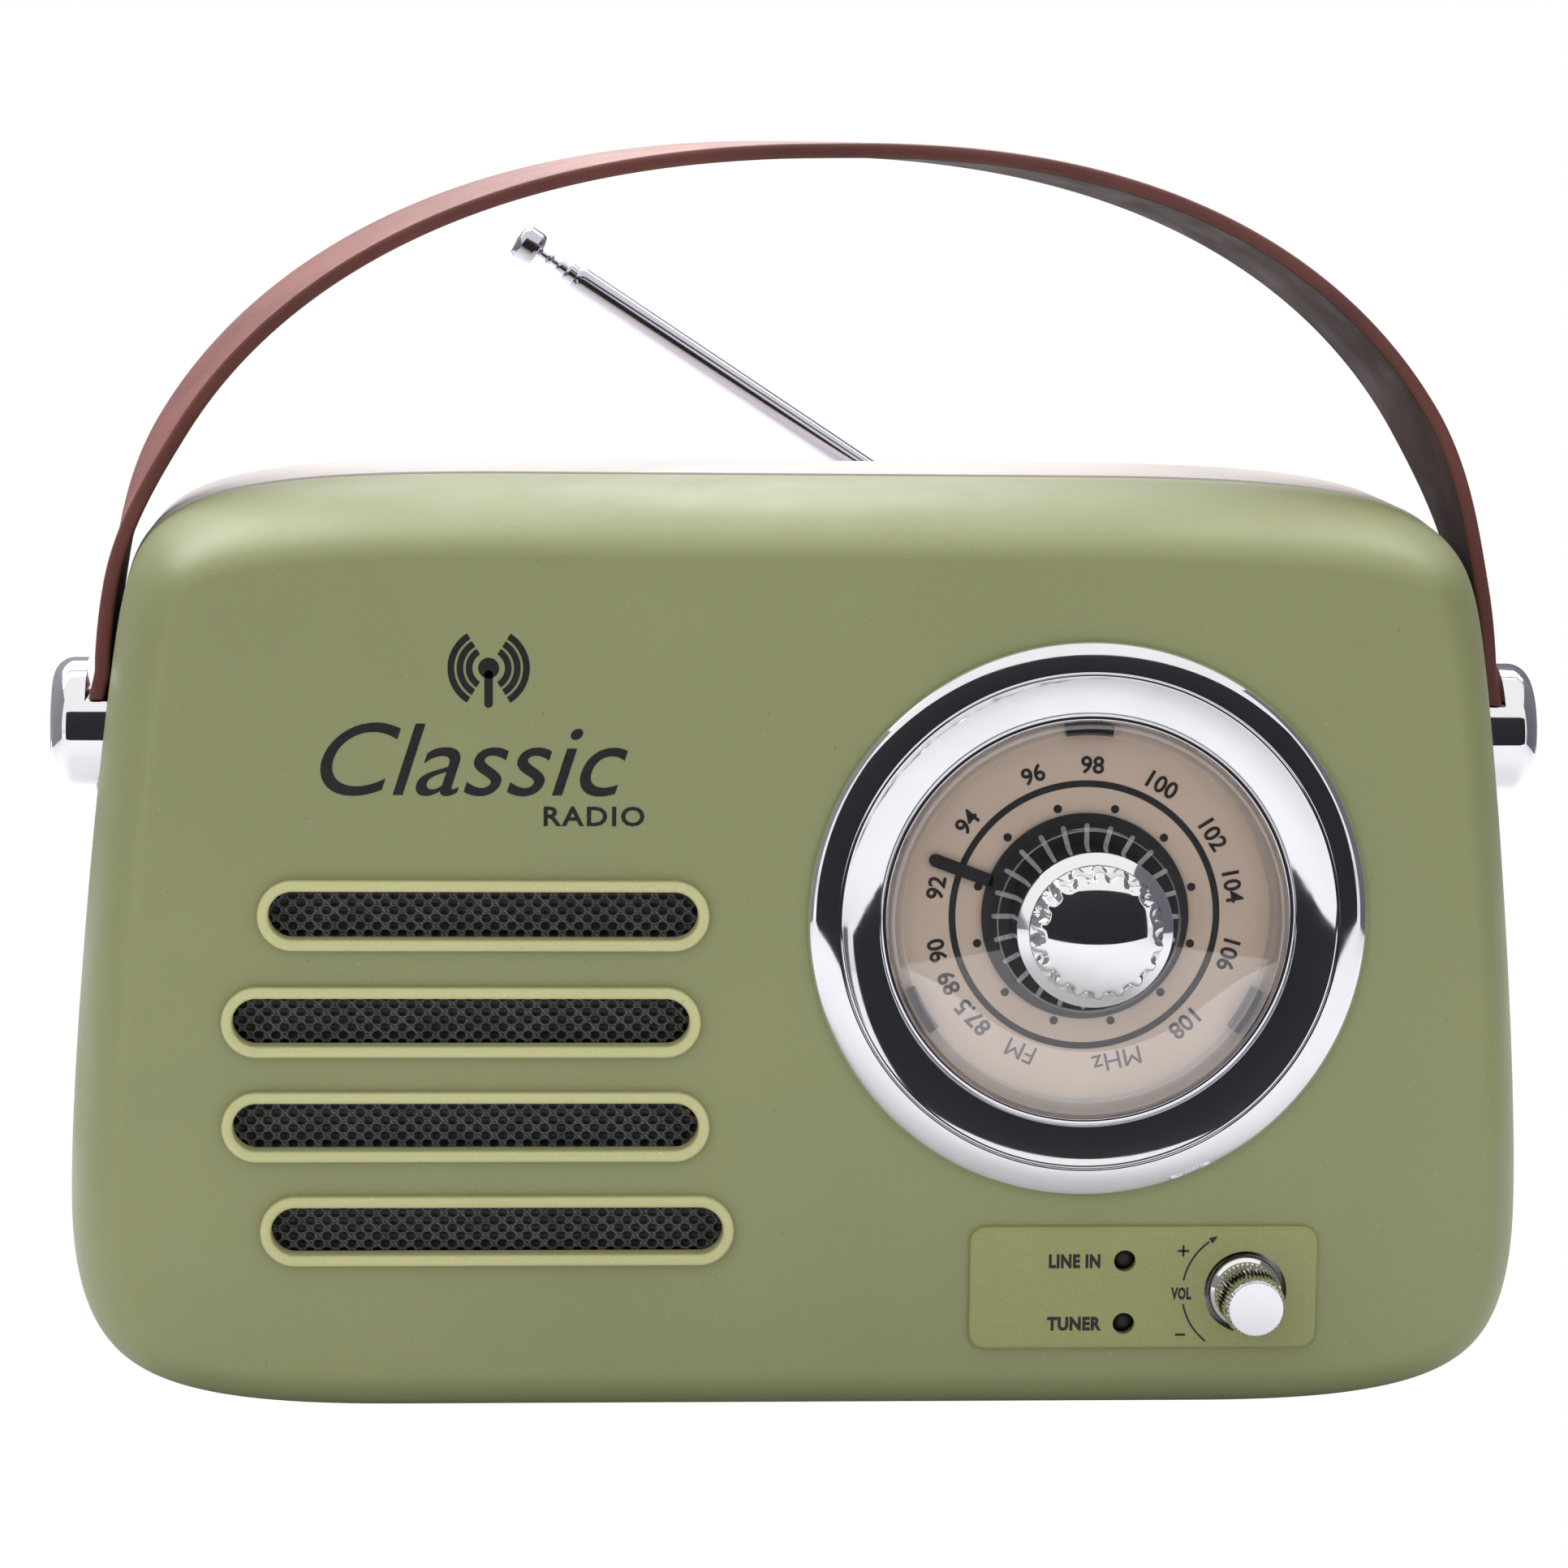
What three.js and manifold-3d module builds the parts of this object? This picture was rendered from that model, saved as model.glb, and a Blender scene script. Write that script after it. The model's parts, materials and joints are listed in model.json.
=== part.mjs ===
// Retro portable radio: two-shell cabinet, round tuning dial, strap handle, telescopic aerial.
// Millimetres. +X to the right seen from the front, -Y is the front, +Z is up.
// The origin is on the ground, under the middle of the whole object.
import * as THREE from 'three';
import { mergeVertices } from 'three/addons/utils/BufferGeometryUtils.js';
import Module from 'manifold-3d';

const wasm = await Module();
wasm.setup();

// ---------------------------------------------------------------- driving dimensions
const GAP = 0.3; // clearance between pieces that touch
const FOOT_H = 1.0; // cabinet bottom above the ground
const CAB_H = 138.6; // cabinet height
const HALF_W = 108.76; // half the cabinet's widest width
const FRONT_Y = -35; // flat front face
const BACK_Y = 40; // flat back face
const SEAM = 0.15; // half the gap between the two shells
const WALL = 2.3; // shell wall
const FRONT_INSET = 9.8; // how far the front edge curves in
const FRONT_STRAIGHT = 5; // depth of the front shell that stays straight
const BACK_INSET = 12;
const BACK_STRAIGHT = 24;
const LIP = 0.35; // the back shell stands proud of the front shell at the seam

const DIAL_X = 40.35;
const DIAL_Z = 77.95;
const BEZEL_R = 40.8;
const BEZEL_BORE = 29.1;
const DIAL_HOLE_R = 33; // opening in the front shell behind the bezel
const PLATE_Y = -30.4; // front of the printed dial plate
const PLATE_T = 1.4;
const LENS_Y = -36.4; // front of the clear lens
const KNOB_FRONT_Y = -51.5;

const PANEL = { x0: 23.9, x1: 75.2, z0: 14.3, z1: 32.6, r: 2.4 };
const LAMP_X = 46.7;
const LAMP_Z = [27.5, 18.1];
const VOL_X = 64.6;
const VOL_Z = 22.8;
const VOL_FRONT_Y = -46.3;
const VOL_HOLE_R = 6.1;
const LAMP_HOLE_R = 1.6;

const SLOT_H = 7; // open height of a speaker slot
const RIM_H = 10.2; // height over the rim round it
const SLOTS = [
  { z: 78.6, x0: -79.7, x1: -14.7 },
  { z: 63.0, x0: -84.9, x1: -15.8 },
  { z: 47.6, x0: -84.9, x1: -14.4 },
  { z: 32.2, x0: -79.4, x1: -10.7 },
];
const SLOT_LAND = 1; // ledge of the shell under each rim
const SPEAKER_X = -48;
const SPEAKER_Z = 55;
const CLOTH_Y = -32.3;

const SCREW_HOLE_R = 1.7; // pilot hole for a case screw
const HEAD_HOLE_R = 3.4; // access hole for a case screw's head
const SHELL_CUT = [FRONT_Y - 1, FRONT_Y + 4]; // y range that passes through the front wall

const PIVOT_Z = 101.3; // handle pivot height, on the seam plane
const END_KNOB_R = 10.3;
const END_KNOB_TIP = 111.8;
const RECESS_X = 102.3; // flat seat for the end knob on the cabinet's side
const STRAP_W = 19;
const STRAP_T = 2.3;
const STRAP_TOP = 187.9; // height of the strap's centre line at its apex
const STRAP_FOOT = 106.4; // height where the strap ends inside the knobs
const STRAP_HALF = 103.7; // half span of the arch
const STRAP_LEAN = 12.5; // how far its top lies back
const STRAP_LIFT = 1.25; // the right half is this much higher, the left half lower
const STRAP_YAW = { middle: 27, sides: 10 }; // degrees that the strap is turned
const NOTCH_X = 106.2; // outer wall of the knob's notch for the strap

const AERIAL_X = 59;
const AERIAL_Y = 47.3;
const AERIAL_Z = 107;
const AERIAL_TILT = 33.2; // degrees above the horizontal at rest
const AERIAL_END = 110; // pivot to the sleeve's end

// ---------------------------------------------------------------- materials
const finish = (color, roughness, metalness = 0) =>
  new THREE.MeshStandardMaterial({ color, roughness, metalness });
const GREEN = finish(0x8f9366, 0.55);
const RIM_GREEN = finish(0xb2b47c, 0.45);
const CREAM = finish(0xf5efe8, 0.5);
const CHROME = finish(0xd8d8da, 0.08, 1);
const STEEL = finish(0x9a9a9c, 0.35, 1);
const LEATHER = finish(0x7a4034, 0.6);
const BLACK = finish(0x1b1b1d, 0.5);
const CLOTH = finish(0x34343a, 0.9);
const IVORY = finish(0xcdb9a5, 0.6);
const CLEAR = finish(0xf2f2f0, 0.05);
const BOARD = finish(0x1f5a34, 0.6);
const BATTERY = finish(0x2f6fa8, 0.4);
const RUBBER = finish(0x242424, 0.9);
const PAPER = finish(0x2a2826, 0.9);
const LAMP = finish(0x4a1714, 0.3);

// ---------------------------------------------------------------- solids and booleans
function toManifold(geometry) {
  const bare = new THREE.BufferGeometry();
  bare.setAttribute('position', geometry.getAttribute('position').clone());
  if (geometry.index) bare.setIndex(geometry.index.clone());
  const merged = mergeVertices(bare, 1e-4);
  return new wasm.Manifold(new wasm.Mesh({
    numProp: 3,
    vertProperties: new Float32Array(merged.getAttribute('position').array),
    triVerts: new Uint32Array(merged.index.array),
  }));
}

function toGeometry(manifold) {
  const mesh = manifold.getMesh();
  const geometry = new THREE.BufferGeometry();
  geometry.setAttribute('position', new THREE.BufferAttribute(new Float32Array(mesh.vertProperties), 3));
  geometry.setIndex(new THREE.BufferAttribute(new Uint32Array(mesh.triVerts), 1));
  return geometry;
}

function combine(base, { add = [], keep = [], cut = [] }) {
  let solid = toManifold(base);
  for (const piece of add) solid = solid.add(toManifold(piece));
  for (const piece of keep) solid = solid.intersect(toManifold(piece));
  for (const piece of cut) solid = solid.subtract(toManifold(piece));
  return toGeometry(solid);
}

// Turns the faces of a closed mesh outwards, by the sign of its volume.
function outward(geometry) {
  const at = geometry.getAttribute('position');
  const index = geometry.index.array;
  const [a, b, c] = [new THREE.Vector3(), new THREE.Vector3(), new THREE.Vector3()];
  let volume = 0;
  for (let i = 0; i < index.length; i += 3) {
    a.fromBufferAttribute(at, index[i]);
    b.fromBufferAttribute(at, index[i + 1]);
    c.fromBufferAttribute(at, index[i + 2]);
    volume += a.dot(b.cross(c));
  }
  if (volume < 0) index.reverse();
  return geometry;
}

// A closed solid through rings of equal point count, capped at both ends.
function loft(rings) {
  const count = rings[0].length;
  const positions = rings.flat().flatMap((p) => [p.x, p.y, p.z]);
  const index = [];
  for (let k = 0; k + 1 < rings.length; k += 1) {
    for (let i = 0; i < count; i += 1) {
      const a = k * count + i;
      const b = k * count + ((i + 1) % count);
      index.push(a, b, a + count, b, b + count, a + count);
    }
  }
  for (const [k, flip] of [[0, true], [rings.length - 1, false]]) {
    const centre = positions.length / 3;
    const middle = rings[k].reduce((sum, p) => sum.add(p), new THREE.Vector3()).divideScalar(count);
    positions.push(middle.x, middle.y, middle.z);
    for (let i = 0; i < count; i += 1) {
      const a = k * count + i;
      const b = k * count + ((i + 1) % count);
      if (flip) index.push(centre, b, a);
      else index.push(centre, a, b);
    }
  }
  const geometry = new THREE.BufferGeometry();
  geometry.setAttribute('position', new THREE.Float32BufferAttribute(positions, 3));
  geometry.setIndex(index);
  return outward(geometry);
}

// ---------------------------------------------------------------- helpers for placed shapes
const box = (x0, x1, y0, y1, z0, z1) =>
  new THREE.BoxGeometry(x1 - x0, y1 - y0, z1 - z0).translate((x0 + x1) / 2, (y0 + y1) / 2, (z0 + z1) / 2);

const rodY = (r, y0, y1, x = 0, z = 0, sides = 24) =>
  new THREE.CylinderGeometry(r, r, y1 - y0, sides).translate(x, (y0 + y1) / 2, z);

const rodX = (r, x0, x1, y = 0, z = 0, sides = 24) =>
  new THREE.CylinderGeometry(r, r, x1 - x0, sides).rotateZ(Math.PI / 2).translate((x0 + x1) / 2, y, z);

const rodZ = (r, z0, z1, x = 0, y = 0, sides = 24) =>
  new THREE.CylinderGeometry(r, r, z1 - z0, sides).rotateX(Math.PI / 2).translate(x, y, (z0 + z1) / 2);

// Profile of [radius, y] pairs turned about the Y axis.
const turned = (profile, sides, x = 0, z = 0) =>
  outward(new THREE.LatheGeometry(profile.map(([r, y]) => new THREE.Vector2(r, y)), sides)).translate(x, 0, z);

function roundedShape(x0, x1, z0, z1, r) {
  const shape = new THREE.Shape();
  shape.absarc(x1 - r, z1 - r, r, 0, Math.PI / 2);
  shape.absarc(x0 + r, z1 - r, r, Math.PI / 2, Math.PI);
  shape.absarc(x0 + r, z0 + r, r, Math.PI, Math.PI * 1.5);
  shape.absarc(x1 - r, z0 + r, r, Math.PI * 1.5, Math.PI * 2);
  return shape;
}

// A rounded rectangle in the XZ plane, from y0 to y1.
function plateY(x0, x1, z0, z1, r, y0, y1, segments = 4) {
  const shape = roundedShape(x0, x1, z0, z1, r);
  const options = { depth: y1 - y0, steps: 1, curveSegments: segments, bevelEnabled: false };
  return new THREE.ExtrudeGeometry(shape, options).rotateX(Math.PI / 2).translate(0, y1, 0);
}

// The same with its edge at y0 chamfered.
function softPlateY(x0, x1, z0, z1, r, y0, y1, soft, segments = 4) {
  const layer = (inset, y) =>
    roundedShape(x0 + inset, x1 - inset, z0 + inset, z1 - inset, r - inset)
      .extractPoints(segments).shape.map((q) => new THREE.Vector3(q.x, y, q.y));
  const rings = [layer(0, y1), layer(0, y0 + soft), layer(soft, y0)];
  return loft(rings);
}

const group = new THREE.Group();

function node(name, geometry, material, parent = group) {
  const mesh = new THREE.Mesh(geometry, material);
  mesh.name = name;
  parent.add(mesh);
  return mesh;
}

// ---------------------------------------------------------------- cabinet outline
// Right half of the outline, from the middle of the top to the middle of the bottom.
function outlineSamples() {
  const top = FOOT_H + CAB_H;
  const base = FOOT_H;
  const path = new THREE.CurvePath();
  const p = (x, z) => new THREE.Vector2(x, base + z);
  const corner = p(100.6, 120.4);
  path.add(new THREE.CubicBezierCurve(p(41.8, CAB_H), p(91.9, CAB_H), p(97.6, 134.3), corner));
  path.add(new THREE.CubicBezierCurve(corner, p(103.2, 108.9), p(HALF_W, 53.7), p(HALF_W, 31.4)));
  path.add(new THREE.CubicBezierCurve(p(HALF_W, 31.4), p(HALF_W, 6), p(98.8, 0), p(59.5, 0)));
  const counts = [8, 3, 8];
  const half = [new THREE.Vector2(0, top), new THREE.Vector2(21, top)];
  path.curves.forEach((curve, k) => {
    const points = curve.getPoints(counts[k]);
    half.push(...(k === 0 ? points : points.slice(1)));
  });
  half.push(new THREE.Vector2(30, base), new THREE.Vector2(0, base));
  const left = half.slice(1, -1).reverse().map((q) => new THREE.Vector2(-q.x, q.y));
  return [...half, ...left];
}
const OUTLINE = outlineSamples();
const NORMALS = OUTLINE.map((point, i) => {
  const before = OUTLINE[(i + OUTLINE.length - 1) % OUTLINE.length];
  const after = OUTLINE[(i + 1) % OUTLINE.length];
  const along = after.clone().sub(before).normalize();
  return new THREE.Vector2(-along.y, along.x);
});
const ring = (inset, y) =>
  OUTLINE.map((q, i) => new THREE.Vector3(q.x - NORMALS[i].x * inset, y, q.y - NORMALS[i].y * inset));

// Rings of the quarter ellipse that rounds an edge: inset runs 0..width while y runs 0..depth.
function roundedEdge(width, depth, steps) {
  return Array.from({ length: steps + 1 }, (_, k) => {
    const angle = (Math.PI / 2) * (k / steps);
    return [width * (1 - Math.cos(angle)), depth * Math.sin(angle)];
  });
}

// Front half of the cabinet, shrunk inwards by `shrink`, cut off at y = end.
function frontHalf(shrink, end, steps) {
  const depth = -FRONT_Y - FRONT_STRAIGHT;
  const edge = roundedEdge(FRONT_INSET, depth, steps).map(([inset, y]) =>
    ring(inset + shrink, -(FRONT_STRAIGHT + (y * (depth - shrink)) / depth)));
  return loft([ring(shrink, end), ...edge]);
}

function backHalf(shrink, start, steps) {
  const depth = BACK_Y - BACK_STRAIGHT;
  const inside = Math.max(shrink, 0);
  const edge = roundedEdge(BACK_INSET, depth, steps).map(([inset, y]) =>
    ring(inset + shrink, BACK_STRAIGHT + (y * (depth - inside)) / depth));
  return loft([ring(shrink, start), ...edge].reverse());
}

// ---------------------------------------------------------------- fixing points
const CASE_SCREWS = [[-84, 14], [84, 14], [-80, 121], [80, 121]];
const SPEAKER_SCREWS = [[-33.7, -15.4], [33.7, -15.4], [-33.7, 15.4], [33.7, 15.4]]
  .map(([x, z]) => [SPEAKER_X + x, SPEAKER_Z + z]);
const FEET = [[-52, -7], [52, -7], [-52, 26], [52, 26]];
const BOARD_POSTS = [[-45, 17], [57, 17], [-45, 47], [57, 47]];
const BOARD_Y = 20;
const REAR = { x0: -40, x1: 36, z0: 18, z1: 44 };
const BUTTON_X = [-30, -19, -8];
const BUTTON_Z = 37;
const USB = { x: -24, z: 25 };
const AUX = { x: 4, z: 25 };
const CHARGE = { x: 24, z: 25 };

// Seats for the end knobs: a thick pad inside, a flat outside and a hole on the seam for the boss.
const sidePads = [-1, 1].map((side) =>
  rodX(19, ...(side > 0 ? [98.4, 110] : [-110, -98.4]), 0, PIVOT_Z, 16));
const sideCuts = [-1, 1].flatMap((side) => [
  rodX(END_KNOB_R + 2 * GAP, ...(side > 0 ? [RECESS_X, 112] : [-112, -RECESS_X]), 0, PIVOT_Z, 28),
  rodX(6.3, ...(side > 0 ? [96, 112] : [-112, -96]), 0, PIVOT_Z, 16),
]);

// ---------------------------------------------------------------- front shell
const slotHole = ({ x0, x1, z }, grow, y0, y1) => {
  const edge = (RIM_H - SLOT_H) / 2;
  const half = SLOT_H / 2 + grow;
  return plateY(x0 + edge - grow, x1 - edge + grow, z - half, z + half, half - 0.01, y0, y1, 3);
};

function frontShell() {
  const outer = frontHalf(0, -SEAM, 6);
  const inner = frontHalf(WALL, 1, 4);
  const skin = combine(outer, { cut: [inner] });
  const pads = sidePads.map((pad) => combine(pad, { keep: [outer] }));
  const posts = CASE_SCREWS.map(([x, z]) => rodY(4, FRONT_Y + 1, -SEAM - 0.4, x, z, 10));
  return combine(skin, {
    add: [...pads, ...posts],
    cut: [
      ...sideCuts,
      ...CASE_SCREWS.map(([x, z]) => rodY(SCREW_HOLE_R, -16, 1, x, z, 8)),
      ...SPEAKER_SCREWS.map(([x, z]) => rodY(1.5, FRONT_Y + 1, FRONT_Y + 3, x, z, 8)),
      ...SLOTS.map((slot) => slotHole(slot, SLOT_LAND, ...SHELL_CUT)),
      rodY(DIAL_HOLE_R, ...SHELL_CUT, DIAL_X, DIAL_Z, 36),
      rodY(VOL_HOLE_R + 0.1, ...SHELL_CUT, VOL_X, VOL_Z, 18),
      ...LAMP_Z.map((z) => rodY(LAMP_HOLE_R + GAP, ...SHELL_CUT, LAMP_X, z, 8)),
    ],
  });
}

// ---------------------------------------------------------------- back shell
function backShell() {
  const outer = backHalf(-LIP, SEAM, 5);
  const inner = backHalf(WALL, -1, 3);
  const skin = combine(outer, { cut: [inner] });
  const pads = sidePads.map((pad) => combine(pad, { keep: [outer] }));
  const tubes = CASE_SCREWS.map(([x, z]) => rodY(5, SEAM + 0.4, BACK_Y - 1, x, z, 12));
  const posts = BOARD_POSTS.map(([x, z]) => rodY(2.6, BOARD_Y + 1.9, BACK_Y - 1, x, z, 8));
  return combine(skin, {
    add: [...pads, ...tubes, ...posts],
    cut: [
      ...sideCuts,
      ...CASE_SCREWS.map(([x, z]) => rodY(HEAD_HOLE_R, 6, BACK_Y + 1, x, z, 12)),
      ...CASE_SCREWS.map(([x, z]) => rodY(SCREW_HOLE_R, -1, 8, x, z, 8)),
      plateY(REAR.x0 - GAP, REAR.x1 + GAP, REAR.z0 - GAP, REAR.z1 + GAP, 3, BACK_Y - 1.3, BACK_Y + 1),
      plateY(REAR.x0 + 3, REAR.x1 - 3, REAR.z0 + 3, REAR.z1 - 3, 2, BACK_Y - 4, BACK_Y + 1),
      rodY(4.4, BACK_Y - 4, BACK_Y + 1, AERIAL_X, AERIAL_Z, 20),
    ],
  });
}

node('front_shell', frontShell(), GREEN);
node('back_shell', backShell(), CREAM);

// ---------------------------------------------------------------- speaker slots and cloth
SLOTS.forEach((slot, i) => {
  const flange = softPlateY(slot.x0, slot.x1, slot.z - RIM_H / 2, slot.z + RIM_H / 2,
    RIM_H / 2 - 0.01, FRONT_Y - 1.7, FRONT_Y - GAP, 0.8, 3);
  const rim = combine(flange, {
    add: [slotHole(slot, SLOT_LAND - GAP, FRONT_Y - 0.9, FRONT_Y + 2)],
    cut: [slotHole(slot, 0, FRONT_Y - 3, FRONT_Y + 4)],
  });
  node(`slot_rim_${i + 1}`, rim, RIM_GREEN);
});

node('grille_cloth', combine(
  plateY(-87.5, -8.5, 24.5, 86, 4, CLOTH_Y, CLOTH_Y + 0.7),
  { cut: SPEAKER_SCREWS.map(([x, z]) => rodY(1.9, CLOTH_Y - 1, CLOTH_Y + 2, x, z, 8)) },
), CLOTH);

// ---------------------------------------------------------------- speaker
const FLANGE_Y = CLOTH_Y + 1.0;
const basket = combine(
  plateY(SPEAKER_X - 38, SPEAKER_X + 38, SPEAKER_Z - 30.6, SPEAKER_Z + 30.6, 14, FLANGE_Y, FLANGE_Y + 1.5, 3),
  {
    add: [turned([[29.6, FLANGE_Y], [30.4, FLANGE_Y], [17.5, -13], [17.5, -11.6], [6, -11.6], [6, -12.8],
      [16, -12.8], [28.2, FLANGE_Y + 1.5], [29.6, FLANGE_Y]], 20, SPEAKER_X, SPEAKER_Z)],
    cut: [
      turned([[0, FLANGE_Y - 1], [28.2, FLANGE_Y - 1], [28.2, FLANGE_Y + 1.5], [16, -12.8], [0, -12.8]],
        20, SPEAKER_X, SPEAKER_Z),
      ...SPEAKER_SCREWS.map(([x, z]) => rodY(1.6, FLANGE_Y - 1, FLANGE_Y + 3, x, z, 8)),
    ],
  },
);
node('speaker_basket', basket, STEEL);
const speakerPart = (name, profile, material, sides = 20) =>
  node(name, turned(profile, sides, SPEAKER_X, SPEAKER_Z), material);
speakerPart('speaker_surround', [[23.4, -29.6], [24.6, -30.9], [26.6, -30.9], [27.8, -29.6],
  [27.4, -29.2], [26.4, -30.2], [24.8, -30.2], [23.8, -29.2], [23.4, -29.6]], RUBBER);
speakerPart('speaker_cone', [[22.8, -28.7], [23.2, -28.2], [8.2, -16.4], [8.0, -17.1], [22.8, -28.7]], PAPER);
speakerPart('speaker_dust_cap', [[0, -21], [4.5, -20.2], [7.4, -17.6], [6.6, -17.2], [0, -17.2]], BLACK);
speakerPart('speaker_magnet', [[0, -11.2], [16, -11.2], [16, -10], [18, -10], [18, -3],
  [12, -3], [12, -1.5], [0, -1.5]], STEEL, 20);

const screw = (name, x, z, headY, headR, headH, shankR, tipY, material) =>
  node(name, turned([[0, tipY], [shankR, tipY], [shankR, headY], [headR, headY],
    [headR, headY + headH], [0, headY + headH]], 8, x, z), material);
SPEAKER_SCREWS.forEach(([x, z], i) =>
  screw(`speaker_screw_${i + 1}`, x, z, FLANGE_Y + 1.8, 2.6, 1.6, 1.1, FRONT_Y + 1.5, STEEL));

// ---------------------------------------------------------------- dial
const dialPiece = (name, profile, material, sides) =>
  node(name, turned(profile, sides, DIAL_X, DIAL_Z), material);
const SPIGOT_R = DIAL_HOLE_R - 0.4; // the bezel's neck in the shell
const SPIGOT_Y = -33.2;
dialPiece('dial_bezel', [[BEZEL_BORE, SPIGOT_Y], [BEZEL_BORE, -36], [29.7, -36.6], [30.3, -36.2], [33, -37],
  [35.6, -38], [36.4, -38.15], [37.8, -37.8], [39.3, -37.2], [40.4, -36.5], [BEZEL_R, -35.9],
  [BEZEL_R, FRONT_Y - GAP], [SPIGOT_R, FRONT_Y - GAP], [SPIGOT_R, SPIGOT_Y], [BEZEL_BORE, SPIGOT_Y]], CHROME, 32);
dialPiece('dial_lens', [[13.2, LENS_Y], [13.2, LENS_Y + 1.2], [27.2, LENS_Y + 1.2], [27.2, PLATE_Y - GAP],
  [28.7, PLATE_Y - GAP], [28.7, LENS_Y], [13.2, LENS_Y]], CLEAR, 32);
dialPiece('dial_plate', [[4, PLATE_Y], [36.4, PLATE_Y], [36.4, PLATE_Y + PLATE_T], [4, PLATE_Y + PLATE_T],
  [4, PLATE_Y]], IVORY, 28);
const POT_Y = PLATE_Y + PLATE_T + GAP; // front of the potentiometer's bush
const POT_BODY_Y = POT_Y + 2;
dialPiece('tuning_pot', [[3.7, POT_Y], [6, POT_Y], [6, POT_BODY_Y], [10, POT_BODY_Y], [10, -17], [3.7, -17],
  [3.7, POT_Y]], STEEL, 16);

const POINTER_ANGLE = 69.7; // degrees to the left of straight up
const pointer = combine(rodY(15.2, PLATE_Y - 1.1, PLATE_Y - 0.5, 0, 0, 32), {
  add: [plateY(-1, 1, 0, 24.4, 0.9, PLATE_Y - 1.1, PLATE_Y - 0.5)
    .rotateY(THREE.MathUtils.degToRad(-POINTER_ANGLE))],
  cut: [rodY(3.5, PLATE_Y - 3, PLATE_Y + 1, 0, 0, 14)],
}).translate(DIAL_X, 0, DIAL_Z);
node('pointer_disc', pointer, BLACK);

const SKIRT_Y = PLATE_Y - 2; // back of the tuning knob
// The fluted tuning knob: skirt, drum with 18 flutes and a domed front, bored for its shaft.
function tuningKnob() {
  const body = turned([[0, KNOB_FRONT_Y], [4, KNOB_FRONT_Y + 0.2], [7, KNOB_FRONT_Y + 0.9], [8.6, KNOB_FRONT_Y + 1.9],
    [9.2, KNOB_FRONT_Y + 3.2], [9.6, -44.6], [11.1, -44.2], [11.3, -43], [11, SKIRT_Y], [0, SKIRT_Y]], 24);
  const flutes = Array.from({ length: 18 }, (_, k) => {
    const angle = (k / 18) * Math.PI * 2;
    return rodY(0.55, KNOB_FRONT_Y + 2.4, -44.7, 9.75 * Math.cos(angle), 9.75 * Math.sin(angle), 5);
  });
  return combine(body, { cut: [...flutes, rodY(3.3, -46, -30, 0, 0, 16)] });
}
node('tuning_knob', tuningKnob().translate(DIAL_X, 0, DIAL_Z), CHROME);
node('tuning_shaft', rodY(3, -45.5, -17.5, DIAL_X, DIAL_Z, 16), STEEL);

// ---------------------------------------------------------------- control panel
node('control_panel', combine(
  plateY(PANEL.x0, PANEL.x1, PANEL.z0, PANEL.z1, PANEL.r, FRONT_Y - 1, FRONT_Y - GAP),
  {
    cut: [
      rodY(VOL_HOLE_R, FRONT_Y - 3, FRONT_Y + 2, VOL_X, VOL_Z, 28),
      ...LAMP_Z.map((z) => rodY(LAMP_HOLE_R, FRONT_Y - 3, FRONT_Y + 2, LAMP_X, z, 12)),
    ],
  },
), RIM_GREEN);
['led_aux', 'led_fm'].forEach((name, i) =>
  node(name, turned([[0, -34.6], [1, -34.4], [1.5, -33.6], [1.5, -28], [0, -28]], 12, LAMP_X, LAMP_Z[i]), LAMP));

function volumeKnob() {
  const body = turned([[0, VOL_FRONT_Y], [4.1, VOL_FRONT_Y], [4.6, VOL_FRONT_Y + 0.6], [4.6, -37], [5.4, -36.2],
    [5.4, -34.6], [0, -34.6]], 28);
  return combine(body, { cut: [rodY(2.3, -41, -30, 0, 0, 12)] });
}
node('volume_knob', volumeKnob().translate(VOL_X, 0, VOL_Z), CHROME);
node('volume_shaft', rodY(2, -40.5, -22.5, VOL_X, VOL_Z, 12), STEEL);
node('volume_pot', turned([[2.4, -32.2], [7.5, -32.2], [7.5, -22], [2.4, -22], [2.4, -32.2]], 20,
  VOL_X, VOL_Z), STEEL);

// ---------------------------------------------------------------- electronics
node('main_board', combine(box(-50, 62, BOARD_Y, BOARD_Y + 1.6, 12, 52), {
  cut: [rodY(2.2, BOARD_Y - 2, BOARD_Y + 4, 10, 47, 12)],
}), BOARD);

const CELL = { x0: -24, x1: 41, y: 9, z: 16.2, r: 9 };
node('battery_pack', rodX(CELL.r, CELL.x0, CELL.x1, CELL.y, CELL.z, 24), BATTERY);
node('battery_bracket', combine(box(-16, 33, CELL.y - 10.5, CELL.y + 10.5, 5.8, 13), {
  cut: [rodX(CELL.r + GAP, -20, 40, CELL.y, CELL.z, 24)],
}), BLACK);

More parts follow.
